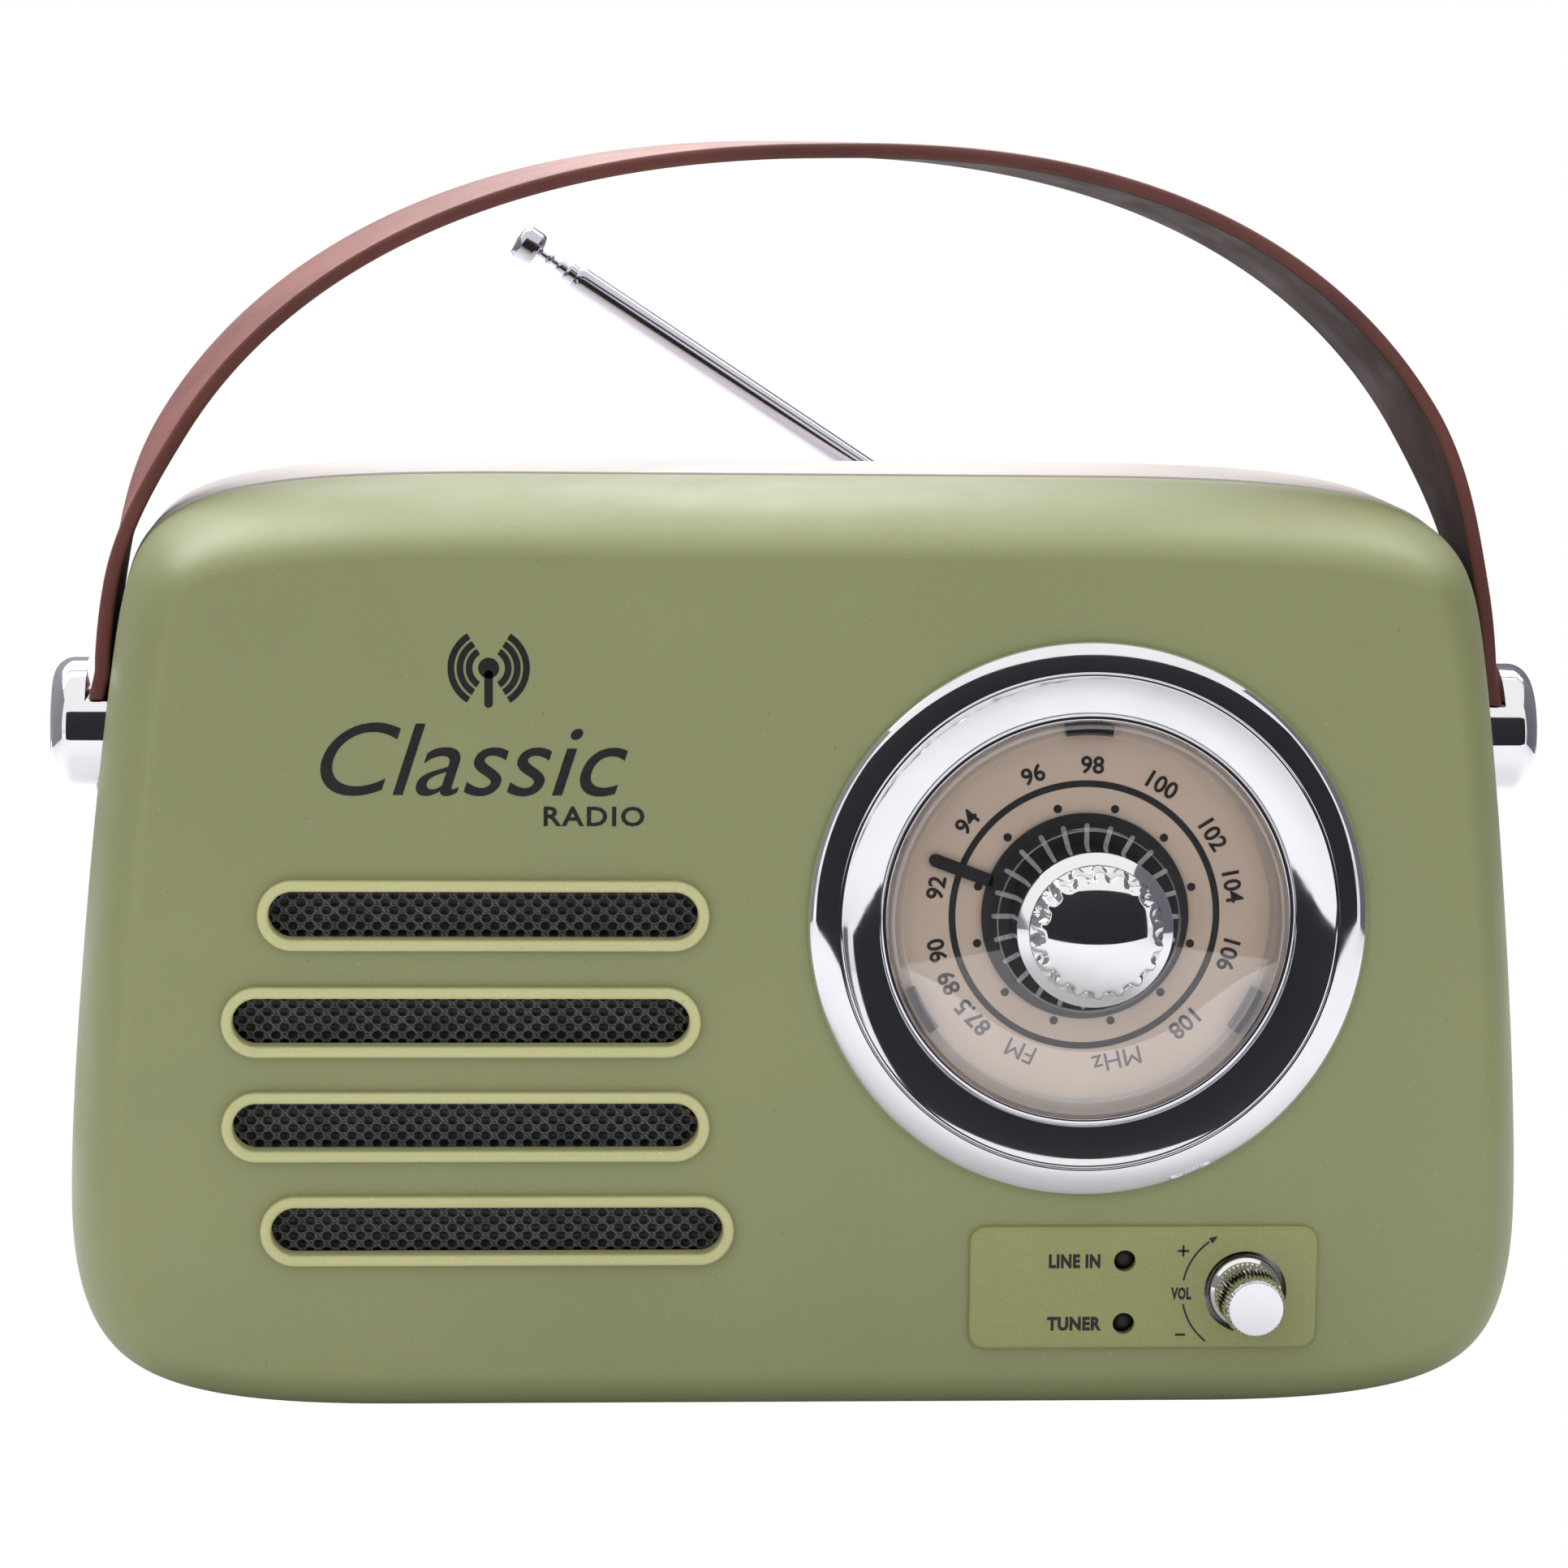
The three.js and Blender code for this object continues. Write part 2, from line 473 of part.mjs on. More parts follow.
// ---------------------------------------------------------------- rear panel, sockets, buttons
const PANEL_Y = BACK_Y - 1;
const SOCKET_END = BACK_Y - 0.4;
node('rear_panel', combine(
  plateY(REAR.x0, REAR.x1, REAR.z0, REAR.z1, 2.7, PANEL_Y, BACK_Y),
  {
    cut: [
      box(USB.x - 7, USB.x + 7, 36, 42, USB.z - 3.6, USB.z + 3.6),
      box(CHARGE.x - 4.6, CHARGE.x + 4.6, 36, 42, CHARGE.z - 2.2, CHARGE.z + 2.2),
      rodY(3.4, 36, 42, AUX.x, AUX.z, 14),
      ...BUTTON_X.map((x) => rodY(3.5, 36, 42, x, BUTTON_Z, 14)),
    ],
  },
), BLACK);
node('usb_socket', combine(
  box(USB.x - 6.7, USB.x + 6.7, BOARD_Y + 2, SOCKET_END, USB.z - 3.3, USB.z + 3.3),
  { cut: [box(USB.x - 6.2, USB.x + 6.2, BOARD_Y + 5, BACK_Y + 1, USB.z - 2.6, USB.z + 2.6)] },
), STEEL);
node('charge_socket', combine(
  box(CHARGE.x - 4.3, CHARGE.x + 4.3, BOARD_Y + 2, SOCKET_END, CHARGE.z - 1.9, CHARGE.z + 1.9),
  { cut: [box(CHARGE.x - 3.8, CHARGE.x + 3.8, BOARD_Y + 8, BACK_Y + 1, CHARGE.z - 1.3, CHARGE.z + 1.3)] },
), STEEL);
node('aux_jack', turned([[1.9, SOCKET_END], [3.1, SOCKET_END], [3.1, BOARD_Y + 2], [0, BOARD_Y + 2],
  [0, BOARD_Y + 5], [1.9, BOARD_Y + 5], [1.9, SOCKET_END]], 12, AUX.x, AUX.z), STEEL);
['button_mode', 'button_previous', 'button_next'].forEach((name, i) =>
  node(name, turned([[0, 28], [1.6, 28], [1.6, 34], [3.1, 35], [3.1, 40.9], [2.6, 41.4], [0, 41.4]], 14,
    BUTTON_X[i], BUTTON_Z), CREAM));

// ---------------------------------------------------------------- screws and feet
CASE_SCREWS.forEach(([x, z], i) =>
  screw(`case_screw_${i + 1}`, x, z, 6.3 + GAP, 2.8, 2, 1.3, -13, STEEL));

const footEnvelopes = { front: frontHalf(-GAP, 1, 6), back: backHalf(-LIP - GAP, -1, 5) };
FEET.forEach(([x, y], i) => {
  const envelope = y < 0 ? footEnvelopes.front : footEnvelopes.back;
  node(`foot_${i + 1}`, combine(rodZ(4, 0, 6, x, y, 14), { cut: [envelope] }), RUBBER);
});

// ---------------------------------------------------------------- handle
// Each boss is clamped in the seam by its flange and carries the end knob on a pin.
[['left', -1], ['right', 1]].forEach(([side, sign]) => {
  const lie = (geometry) => geometry.rotateZ((-sign * Math.PI) / 2).translate(0, 0, PIVOT_Z);
  const boss = turned([[0, 95], [9, 95], [9, 98], [6, 98], [6, RECESS_X + 0.3],
    [2.6, RECESS_X + 0.3], [2.6, 108.6], [0, 108.6]], 14);
  node(`handle_boss_${side}`, lie(boss), STEEL);

  const inner = RECESS_X + 0.6;
  const knob = turned([[0, inner], [END_KNOB_R, inner], [END_KNOB_R, 108.4], [9.6, 110.2],
    [8.4, 111.2], [7, 111.6], [0, END_KNOB_TIP]], 28);
  const bore = new THREE.CylinderGeometry(2.9, 2.9, 14, 12).translate(0, inner - 1 + 0.1, 0);
  const notch = box(...(sign > 0 ? [100, NOTCH_X] : [-NOTCH_X, -100]), -12, 12, STRAP_FOOT - GAP, PIVOT_Z + 14);
  node(`end_knob_${side}`, combine(lie(knob), { cut: [lie(bore), notch] }), CHROME);
});

// Strap centre line: a rounded arch that leans back; its legs turn out a little where they enter the knobs.
function strapRings() {
  const steps = 36;
  const rise = STRAP_TOP - STRAP_FOOT;
  const power = 0.872;
  const chamfer = 0.5;
  return Array.from({ length: steps + 1 }, (_, k) => {
    const angle = Math.PI * (k / steps); // 0 at the right foot, half a turn at the left foot
    const cos = Math.cos(angle);
    const height = Math.sin(angle) ** power;
    const z = STRAP_FOOT + rise * height + STRAP_LIFT * Math.sin(2 * angle);
    const flare = 0.8 * Math.exp(-height * 48);
    const x = Math.sign(cos) * (STRAP_HALF * Math.abs(cos) ** power + flare);
    return { centre: new THREE.Vector3(x, STRAP_LEAN * height, z), height, side: Math.abs(cos) };
  }).map(({ centre, height, side }, k, all) => {
    const before = all[Math.max(k - 1, 0)].centre;
    const after = all[Math.min(k + 1, all.length - 1)].centre;
    const along = after.clone().sub(before).normalize();
    if (k === 0 || k === all.length - 1) along.set(0, 0, k === 0 ? 1 : -1);
    const yaw = STRAP_YAW.middle + (STRAP_YAW.sides - STRAP_YAW.middle) * side;
    const twist = THREE.MathUtils.degToRad(yaw) * THREE.MathUtils.smoothstep(height, 0.2, 0.5);
    const across = new THREE.Vector3(Math.sin(twist), -Math.cos(twist), 0);
    across.sub(along.clone().multiplyScalar(across.dot(along))).normalize();
    const outward = new THREE.Vector3().crossVectors(across, along).negate();
    const w = STRAP_W / 2;
    const t = STRAP_T / 2;
    const c = chamfer;
    return [[w - c, t], [w, t - c], [w, c - t], [w - c, -t], [c - w, -t], [-w, c - t], [-w, t - c], [c - w, t]]
      .map(([a, b]) => centre.clone().addScaledVector(across, a).addScaledVector(outward, b));
  });
}
node('handle_strap', loft(strapRings()), LEATHER);

// ---------------------------------------------------------------- aerial
node('aerial_base', turned([[0, 34.5], [7, 34.5], [7, 37], [4.1, 37], [4.1, 40.3],
  [7.4, 40.3], [7.4, 42.2], [0, 42.2]], 20, AERIAL_X, AERIAL_Z), BLACK);

const aerial = new THREE.Group();
aerial.position.set(AERIAL_X, AERIAL_Y, AERIAL_Z);
aerial.rotation.y = THREE.MathUtils.degToRad(AERIAL_TILT - 180);
group.add(aerial);

// Local frame: +X runs along the rod from the elbow pin, Y is the swivel axis.
// The swivel: a disc on the base with a clevis of two cheeks and the elbow pin through them.
const clevis = combine(rodY(6.6, -4.8, -3.6, 0, 0, 20), {
  add: [
    box(-4.2, 4.2, -4, 0, 2.4, 3.8),
    box(-4.2, 4.2, -4, 0, -3.8, -2.4),
    rodZ(4.2, 2.4, 3.8, 0, 0, 16),
    rodZ(4.2, -3.8, -2.4, 0, 0, 16),
    rodZ(1.1, -3.8, 3.8, 0, 0, 10),
  ],
});
node('aerial_swivel', clevis, CHROME, aerial);

// Hollow round section from x0 to x1, with its bore open at the outer end.
const tube = (r, bore, x0, x1, floor, sides = 16) =>
  combine(rodX(r, x0, x1, 0, 0, sides), { cut: [rodX(bore, x0 + floor, x1 + 1, 0, 0, sides)] });

const knuckle = combine(rodZ(2.7, -2.1, 2.1, 0, 0, 16), {
  add: [tube(2, 1.7, 1, AERIAL_END, 4.4)],
  cut: [rodZ(1.4, -4, 4, 0, 0, 12)],
});
node('aerial_sleeve', knuckle, CHROME, aerial);
node('aerial_section_2', tube(1.5, 1.22, 7, AERIAL_END + 1.8, 1.5), CHROME, aerial);
node('aerial_section_3', tube(1.02, 0.8, 10, AERIAL_END + 3.4, 1.5), CHROME, aerial);
const tipRod = turned([[0, 13], [0.6, 13], [0.6, 114.6], [0.9, 115], [0.6, 115.4],
  [0.6, 116.4], [2.5, 116.9], [2.8, 117.6], [2.8, 120], [2.4, 120.7], [0, 121]], 14).rotateZ(-Math.PI / 2);
node('aerial_tip_rod', tipRod, CHROME, aerial);

export default group;
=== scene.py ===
# Looks of the retro portable radio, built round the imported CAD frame.
# Shapes are written in millimetres in the frame's own axes (-Y is the front) and stored in metres.
import json
import math

import bmesh
import bpy
import numpy as np
from mathutils import Matrix, Vector


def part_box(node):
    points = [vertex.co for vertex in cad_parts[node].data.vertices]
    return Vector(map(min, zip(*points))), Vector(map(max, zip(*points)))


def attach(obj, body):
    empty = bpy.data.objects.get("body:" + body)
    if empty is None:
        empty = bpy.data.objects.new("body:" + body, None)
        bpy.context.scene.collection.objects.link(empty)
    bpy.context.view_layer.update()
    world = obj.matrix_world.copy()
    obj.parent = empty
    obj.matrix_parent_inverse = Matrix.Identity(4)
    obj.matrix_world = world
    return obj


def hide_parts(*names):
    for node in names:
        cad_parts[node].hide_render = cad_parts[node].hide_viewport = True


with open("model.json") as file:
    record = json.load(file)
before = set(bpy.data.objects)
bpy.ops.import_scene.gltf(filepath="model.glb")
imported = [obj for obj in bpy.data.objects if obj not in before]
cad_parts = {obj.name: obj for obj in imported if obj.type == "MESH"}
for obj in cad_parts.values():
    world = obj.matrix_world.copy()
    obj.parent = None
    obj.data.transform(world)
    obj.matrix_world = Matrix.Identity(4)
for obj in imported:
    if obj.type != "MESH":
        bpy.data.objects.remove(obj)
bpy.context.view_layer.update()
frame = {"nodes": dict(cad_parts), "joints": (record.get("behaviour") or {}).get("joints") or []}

MM = 0.001


# ---------------------------------------------------------------- places taken from the frame
def box(node):
    """Lowest and highest corner of a CAD node, in millimetres."""
    low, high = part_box(node)
    return np.array(low) / MM, np.array(high) / MM


def middle(node):
    low, high = box(node)
    return (low + high) / 2


def joint(name):
    return next(j for j in frame["joints"] if j["name"] == name)


def joint_place(name):
    return np.array(joint(name)["pos_m"]) / MM


FRONT_LOW, FRONT_HIGH = box("front_shell")
BACK_HIGH = box("back_shell")[1]
FRONT_Y = FRONT_LOW[1]
BACK_Y = BACK_HIGH[1]
SEAM = -FRONT_HIGH[1]
BASE_Z = FRONT_LOW[2]
CAB_H = FRONT_HIGH[2] - BASE_Z
HALF_W = FRONT_HIGH[0]
LIP = BACK_HIGH[0] - HALF_W
WALL = 2.3
# How far the rounding of each half's edge reaches in from its outline, and the depth where it starts.
FRONT_INSET, FRONT_STRAIGHT = 9.8, 5
BACK_INSET, BACK_STRAIGHT = 12, 24
INNER_INSET = 11  # the inner face starts at most this far in
CASE_SCREWS = [f"case_screw_{i}" for i in range(1, 5)]
SLOT_NODES = [f"slot_rim_{i}" for i in range(1, 5)]
LAMP_NODES = ["led_aux", "led_fm"]

DIAL = middle("dial_plate")
PLATE_Y = box("dial_plate")[0][1]
LENS_Y = box("dial_lens")[0][1]
BEZEL_LOW, BEZEL_HIGH = box("dial_bezel")
BEZEL_R = (BEZEL_HIGH[0] - BEZEL_LOW[0]) / 2
KNOB_FRONT_Y = box("tuning_knob")[0][1]
PANEL_LOW, PANEL_HIGH = box("control_panel")
VOLUME = middle("volume_knob")
VOLUME_FRONT_Y = box("volume_knob")[0][1]
PIVOT_Z = joint_place("handle_fold")[2]
KNOB_TIP = box("end_knob_right")[1][0]
KNOB_ROOT = box("end_knob_right")[0][0]
END_KNOB_R = box("end_knob_right")[1][2] - PIVOT_Z
STRAP_FOOT = box("handle_strap")[0][2]
NOTCH_X = 106.2


# ---------------------------------------------------------------- meshes
def fillet(before, corner, after, radius, steps=6):
    """Points of the arc that rounds a corner."""
    a, p, b = (np.array(q[:2], float) for q in (before, corner, after))
    u, v = (a - p) / np.linalg.norm(a - p), (b - p) / np.linalg.norm(b - p)
    half = math.acos(max(-1.0, min(1.0, float(u @ v)))) / 2
    if radius <= 0 or half > math.radians(89.5):
        return [tuple(p)]
    reach = min(radius / math.tan(half), 0.49 * np.linalg.norm(a - p), 0.49 * np.linalg.norm(b - p))
    r = reach * math.tan(half)
    centre = p + (u + v) / np.linalg.norm(u + v) * r / math.sin(half)
    start, end = p + u * reach - centre, p + v * reach - centre
    turn = math.atan2(start[0] * end[1] - start[1] * end[0], float(start @ end))
    points = []
    for k in range(steps + 1):
        c, s = math.cos(turn * k / steps), math.sin(turn * k / steps)
        points.append((centre[0] + c * start[0] - s * start[1], centre[1] + s * start[0] + c * start[1]))
    return points


def rounded(points, closed=True, steps=6):
    """A profile of (a, b) or (a, b, radius) corners, as plain points."""
    out = []
    count = len(points)
    for i, point in enumerate(points):
        radius = point[2] if len(point) > 2 else 0
        if not closed and i in (0, count - 1):
            out.append(tuple(point[:2]))
        else:
            out.extend(fillet(points[i - 1], point, points[(i + 1) % count], radius, steps))
    return out


def skin(rings, loop=False, caps=True):
    """Faces through rings of equal point count; loop joins the last ring to the first."""
    rings = np.array(rings, float)
    count, sides = rings.shape[:2]
    faces = []
    for k in range(count if loop else count - 1):
        a, b = k * sides, ((k + 1) % count) * sides
        faces += [(a + i, a + (i + 1) % sides, b + (i + 1) % sides, b + i) for i in range(sides)]
    if caps and not loop:
        last = (count - 1) * sides
        faces.append(tuple(range(sides))[::-1])
        faces.append(tuple(range(last, last + sides)))
    return rings.reshape(-1, 3), faces


FRONT = Matrix(((1, 0, 0), (0, 0, -1), (0, 1, 0)))  # local (right, up, out) seen from the front
REAR = Matrix(((-1, 0, 0), (0, 0, 1), (0, 1, 0)))
RIGHT = Matrix(((0, 0, 1), (1, 0, 0), (0, 1, 0)))
LEFT = Matrix(((0, 0, -1), (-1, 0, 0), (0, 1, 0)))
DOWN = Matrix(((1, 0, 0), (0, -1, 0), (0, 0, -1)))


def placed(geometry, axes, at):
    verts, faces = geometry
    return verts @ np.array(axes).T + np.array(at, float), faces


def turned(profile, sides=96, closed=True, ripple=None):
    """(radius, height) points turned about the local out axis; ripple(r, h, angle) changes the radius."""
    angles = np.arange(sides) * 2 * math.pi / sides
    rings = []
    for r, h in profile:
        radii = np.full(sides, r) if ripple is None else np.array([ripple(r, h, t) for t in angles])
        rings.append(np.stack([radii * np.cos(angles), radii * np.sin(angles), np.full(sides, h)], axis=1))
    return skin(rings, loop=closed, caps=False)


def lathe(profile, sides, axes, at, closed=True):
    return placed(turned(profile, sides, closed), axes, at)


def banded(outline, profile, loop=True, caps=False):
    """An outline(inset) of (x, z) points carried along a profile of (inset, y)."""
    rings = []
    for inset, y in profile:
        flat = outline(inset)
        rings.append(np.stack([flat[:, 0], np.full(len(flat), y), flat[:, 1]], axis=1))
    return skin(rings, loop=loop, caps=caps)


def stadium(x0, x1, z0, z1, radius, steps=16):
    """outline(inset) of a rounded rectangle."""
    corners = [(x1 - radius, z1 - radius, 0, 1, 1), (x0 + radius, z1 - radius, 90, -1, 1),
               (x0 + radius, z0 + radius, 180, -1, -1), (x1 - radius, z0 + radius, 270, 1, -1)]

    def outline(inset):
        reach = max(radius - inset, 0.0)
        shift = max(inset - radius, 0.0)
        points = []
        for x, z, start, out_x, out_z in corners:
            for k in range(steps + 1):
                angle = math.radians(start + 90 * k / steps)
                points.append((x - out_x * shift + reach * math.cos(angle),
                               z - out_z * shift + reach * math.sin(angle)))
        return np.array(points)
    return outline


def block(x0, x1, y0, y1, z0, z1, soft=0.2):
    """A box with rounded vertical edges along Y and softened ends."""
    outline = stadium(x0, x1, z0, z1, max(soft, 0.02), 3)
    profile = [(soft * 0.9, y0), (0, y0 + soft), (0, y1 - soft), (soft * 0.9, y1)]
    return banded(outline, profile, loop=False, caps=True)


def spun(flat, angle):
    """Plane points turned anticlockwise by an angle."""
    c, s = math.cos(angle), math.sin(angle)
    return flat @ np.array([[c, s], [-s, c]])


def slab(flat, low, high):
    """A plane outline given thickness along the local out axis."""
    return skin([np.column_stack([flat, np.full(len(flat), h)]) for h in (low, high)])


def subdivided(profile, parts):
    """The profile with each stretch (a, b) split into parts(a, b) equal ones."""
    fine = []
    for a, b in zip(profile, profile[1:]):
        count = parts(a, b)
        fine += [(a[0] + (b[0] - a[0]) * t / count, a[1] + (b[1] - a[1]) * t / count) for t in range(count)]
    return fine + [profile[-1]]


def joined(*parts):
    verts, faces, start = [], [], 0
    for v, f in parts:
        verts.append(v)
        faces += [tuple(i + start for i in face) for face in f]
        start += len(v)
    return np.concatenate(verts), faces


WELD, NO_LENGTH = 1e-7, 1e-8


def meshed(name, geometry, weld=True, dissolve=True):
    """An object in the scene from geometry in millimetres."""
    verts, faces = geometry
    mesh = bpy.data.meshes.new(name)
    mesh.from_pydata((verts * MM).tolist(), [], faces)
    if weld:
        bm = bmesh.new()
        bm.from_mesh(mesh)
        bmesh.ops.remove_doubles(bm, verts=bm.verts, dist=WELD)
        if dissolve:
            bmesh.ops.dissolve_degenerate(bm, edges=bm.edges, dist=NO_LENGTH)
        bmesh.ops.recalc_face_normals(bm, faces=bm.faces)
        bm.to_mesh(mesh)
        bm.free()
    obj = bpy.data.objects.new(name, mesh)
    bpy.context.scene.collection.objects.link(obj)
    return obj


def piece(name, geometry, material, body="cabinet", replaces=(), sharp=32, weld=True):
    """A finished object from geometry in millimetres."""
    obj = meshed(name, geometry, weld)
    mesh = obj.data
    mesh.materials.append(material)
    smooth(mesh, sharp)
    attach(obj, body)
    if replaces:
        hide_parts(*replaces)
    return obj


def smooth(mesh, sharp):
    mesh.polygons.foreach_set("use_smooth", [True] * len(mesh.polygons))
    mesh.set_sharp_from_angle(angle=math.radians(sharp))


def carve(obj, *cutters, sharp=32):
    """Cuts closed geometry out of obj."""
    tool = meshed("cutter", joined(*cutters), dissolve=False)
    cut = obj.modifiers.new("cut", "BOOLEAN")
    cut.operation = "DIFFERENCE"
    cut.solver = "EXACT"
    cut.object = tool
    bpy.context.view_layer.update()
    result = bpy.data.meshes.new_from_object(obj.evaluated_get(bpy.context.evaluated_depsgraph_get()))
    obj.modifiers.remove(cut)
    if len(result.polygons) < len(obj.data.polygons) / 2:
        raise RuntimeError(f"cutting {obj.name} lost its surface")
    result.name = obj.data.name
    old = obj.data
    obj.data = result
    bpy.data.meshes.remove(old)
    bpy.data.objects.remove(tool)
    smooth(obj.data, sharp)


def rod(radius, low, high, sides=64):
    return turned([(0, low), (radius, low), (radius, high), (0, high)], sides, closed=False)


PRINT_T = 0.06  # thickness of printed ink


def lettering(text, height, at, angle=0.0, weight=0.0, slant=0.0, spacing=1.0, width=None, steps=3):
    """Flat letters of a given height, centred at (right, up, out) in a face's own plane."""
    curve = bpy.data.curves.new("letters", "FONT")
    curve.body = text
    curve.offset = weight
    curve.shear = slant
    curve.space_character = spacing
    curve.resolution_u = steps
    curve.extrude = 0.5
    obj = bpy.data.objects.new("letters", curve)
    mesh = bpy.data.meshes.new_from_object(obj)
    verts = np.array([v.co for v in mesh.vertices], float).reshape(-1, 3)
    faces = [tuple(p.vertices) for p in mesh.polygons]
    bpy.data.meshes.remove(mesh)
    bpy.data.curves.remove(curve)
    low, high = verts.min(0), verts.max(0)
    verts -= (low + high) / 2
    scale = height / (high[1] - low[1])
    stretch = scale if width is None else width / (high[0] - low[0])
    verts *= (stretch, scale, PRINT_T)
    verts[:, :2] = spun(verts[:, :2], angle)
    return verts + np.array(at, float), faces


def slope_profile(slopes, height, step=0.08):
    """Profile points whose slope, in degrees, runs evenly between the given radii."""
    points = [(slopes[0][0], height)]
    for (r0, s0), (r1, s1) in zip(slopes, slopes[1:]):
        count = max(2, int((r0 - r1) / step))
        for k in range(count):
            tilt = math.radians(s0 + (s1 - s0) * (k + 0.5) / count)
            r, h = points[-1]
            points.append((r - (r0 - r1) / count, h + math.tan(tilt) * (r0 - r1) / count))
    return points


def flat_arc(radius, width, start, end, out, thick=PRINT_T, steps=40):
    """A thin printed arc about the local out axis, angles in degrees anticlockwise from the right."""
    rings = []
    for t in np.radians(np.linspace(start, end, steps + 1)):
        c, s = math.cos(t), math.sin(t)
        rings.append([(r * c, r * s, h) for r, h in (
            (radius - width / 2, out), (radius + width / 2, out),
            (radius + width / 2, out + thick), (radius - width / 2, out + thick))])
    return skin(rings)


def dot(radius, at):
    verts, faces = rod(radius, 0, PRINT_T, 24)
    return verts + np.array(at, float), faces


def bar(width, length, at, angle):
    """A thin printed bar, its long side turned by angle."""
    outline = stadium(-length / 2, length / 2, -width / 2, width / 2, width / 2.1, 4)(0)
    return slab(spun(outline, angle) + np.array(at[:2]), at[2], at[2] + PRINT_T)


def polar(radius, angle, out):
    return radius * math.cos(angle), radius * math.sin(angle), out


# ---------------------------------------------------------------- materials
def srgb(*values):
    """Linear colour from 8-bit screen values."""
    return tuple(((v / 255 + 0.055) / 1.055) ** 2.4 if v > 10 else v / 255 / 12.92 for v in values)


class Finish:
    """A Principled material whose detail comes from noise in the part's own coordinates."""

    def __init__(self, name, color, roughness, metallic=0.0, **sockets):
        self.material = bpy.data.materials.new(name)
        self.material.use_nodes = True
        self.nodes = self.material.node_tree.nodes
        self.links = self.material.node_tree.links
        self.shader = self.nodes["Principled BSDF"]
        self.color = (*color, 1.0)
        self.set("Base Color", self.color)
        self.set("Roughness", roughness)
        self.set("Metallic", metallic)
        for key, value in sockets.items():
            self.set(key.replace("_", " ").title().replace("Ior", "IOR"), value)
        self.place = self.nodes.new("ShaderNodeTexCoord").outputs["Object"]
        self.normal = None
        self.roughness = roughness
        self.mixed = None

    def set(self, socket, value):
        self.shader.inputs[socket].default_value = value

    def stretched(self, scale):
        node = self.nodes.new("ShaderNodeMapping")
        node.inputs["Scale"].default_value = scale
        self.links.new(self.place, node.inputs["Vector"])
        return node.outputs["Vector"]

    def noise(self, scale, detail=2.0, rough=0.5, place=None):
        node = self.nodes.new("ShaderNodeTexNoise")
        node.inputs["Scale"].default_value = scale
        node.inputs["Detail"].default_value = detail
        node.inputs["Roughness"].default_value = rough
        self.links.new(place or self.place, node.inputs["Vector"])
        return node.outputs["Fac"]

    def cells(self, scale, feature="F1", place=None):
        node = self.nodes.new("ShaderNodeTexVoronoi")
        node.feature = feature
        node.inputs["Scale"].default_value = scale
        self.links.new(place or self.place, node.inputs["Vector"])
        return node.outputs["Distance"]

    def ramp(self, value, low, high, first=0.0, last=1.0):
        node = self.nodes.new("ShaderNodeMapRange")
        for key, number in (("From Min", low), ("From Max", high), ("To Min", first), ("To Max", last)):
            node.inputs[key].default_value = number
        self.links.new(value, node.inputs["Value"])
        return node.outputs["Result"]

    def tint(self, factor, color):
        """Mixes another colour in by factor."""
        node = self.nodes.new("ShaderNodeMix")
        node.data_type = "RGBA"
        self.links.new(factor, node.inputs["Factor"])
        first = node.inputs[6]
        if self.mixed is None:
            first.default_value = self.color
        else:
            self.links.new(self.mixed, first)
        node.inputs[7].default_value = (*color, 1.0)
        self.mixed = node.outputs[2]
        self.links.new(self.mixed, self.shader.inputs["Base Color"])
        return self

    def rough(self, value, low, high, first, last):
        self.links.new(self.ramp(value, low, high, first, last), self.shader.inputs["Roughness"])
        return self

    def bump(self, height, distance, strength=1.0):
        node = self.nodes.new("ShaderNodeBump")
        node.inputs["Distance"].default_value = distance
        node.inputs["Strength"].default_value = strength
        self.links.new(height, node.inputs["Height"])
        if self.normal is not None:
            self.links.new(self.normal, node.inputs["Normal"])
        self.normal = node.outputs["Normal"]
        self.links.new(self.normal, self.shader.inputs["Normal"])
        return self


def scaled(color, factor):
    return tuple(min(1.0, c * factor) for c in color)


def moulded(name, color, roughness, grain=5200, depth=6e-6, **more):
    """Moulded plastic: fine spark texture, slight clouding, dust specks and hairline scuffs."""
    f = Finish(name, color, roughness, **more)
    f.tint(f.ramp(f.noise(22, 3), 0.35, 0.7), scaled(color, 0.93))
    f.tint(f.ramp(f.noise(2600, 1), 0.4, 0.75, 0, 0.5), scaled(color, 1.12))
    f.tint(f.ramp(f.cells(240), 0.045, 0.03, 0, 0.55), scaled(color, 1.55))
    scuffs = f.cells(170, place=f.stretched((1.07, 1.3, 0.93)))
    f.tint(f.ramp(scuffs, 0.04, 0.028, 0, 0.5), scaled(color, 0.5))
    f.rough(f.noise(60, 4), 0.3, 0.7, roughness * 0.88, roughness * 1.12)
    f.bump(f.noise(grain, 2), depth)
    return f.material


def plated(name, color=(0.86, 0.85, 0.875), roughness=0.035, metallic=1.0):
    """Mirror chrome with faint wiping haze and a nearly flat surface."""
    f = Finish(name, color, roughness, metallic)
    f.tint(f.ramp(f.noise(90, 3), 0.45, 0.8), scaled(color, 0.94))
    f.rough(f.noise(140, 5), 0.35, 0.8, roughness, roughness + 0.05)
    f.bump(f.noise(260, 2), 4e-6)
    return f.material


def brushed(name, color, roughness=0.34):
    f = Finish(name, color, roughness, 1.0)
    f.tint(f.ramp(f.noise(900, 4, place=f.stretched((1, 12, 1))), 0.3, 0.7), scaled(color, 0.78))
    f.rough(f.noise(300, 4), 0.3, 0.7, roughness * 0.8, roughness * 1.3)
    f.bump(f.noise(2400, 3, place=f.stretched((1, 8, 1))), 5e-6)
    return f.material


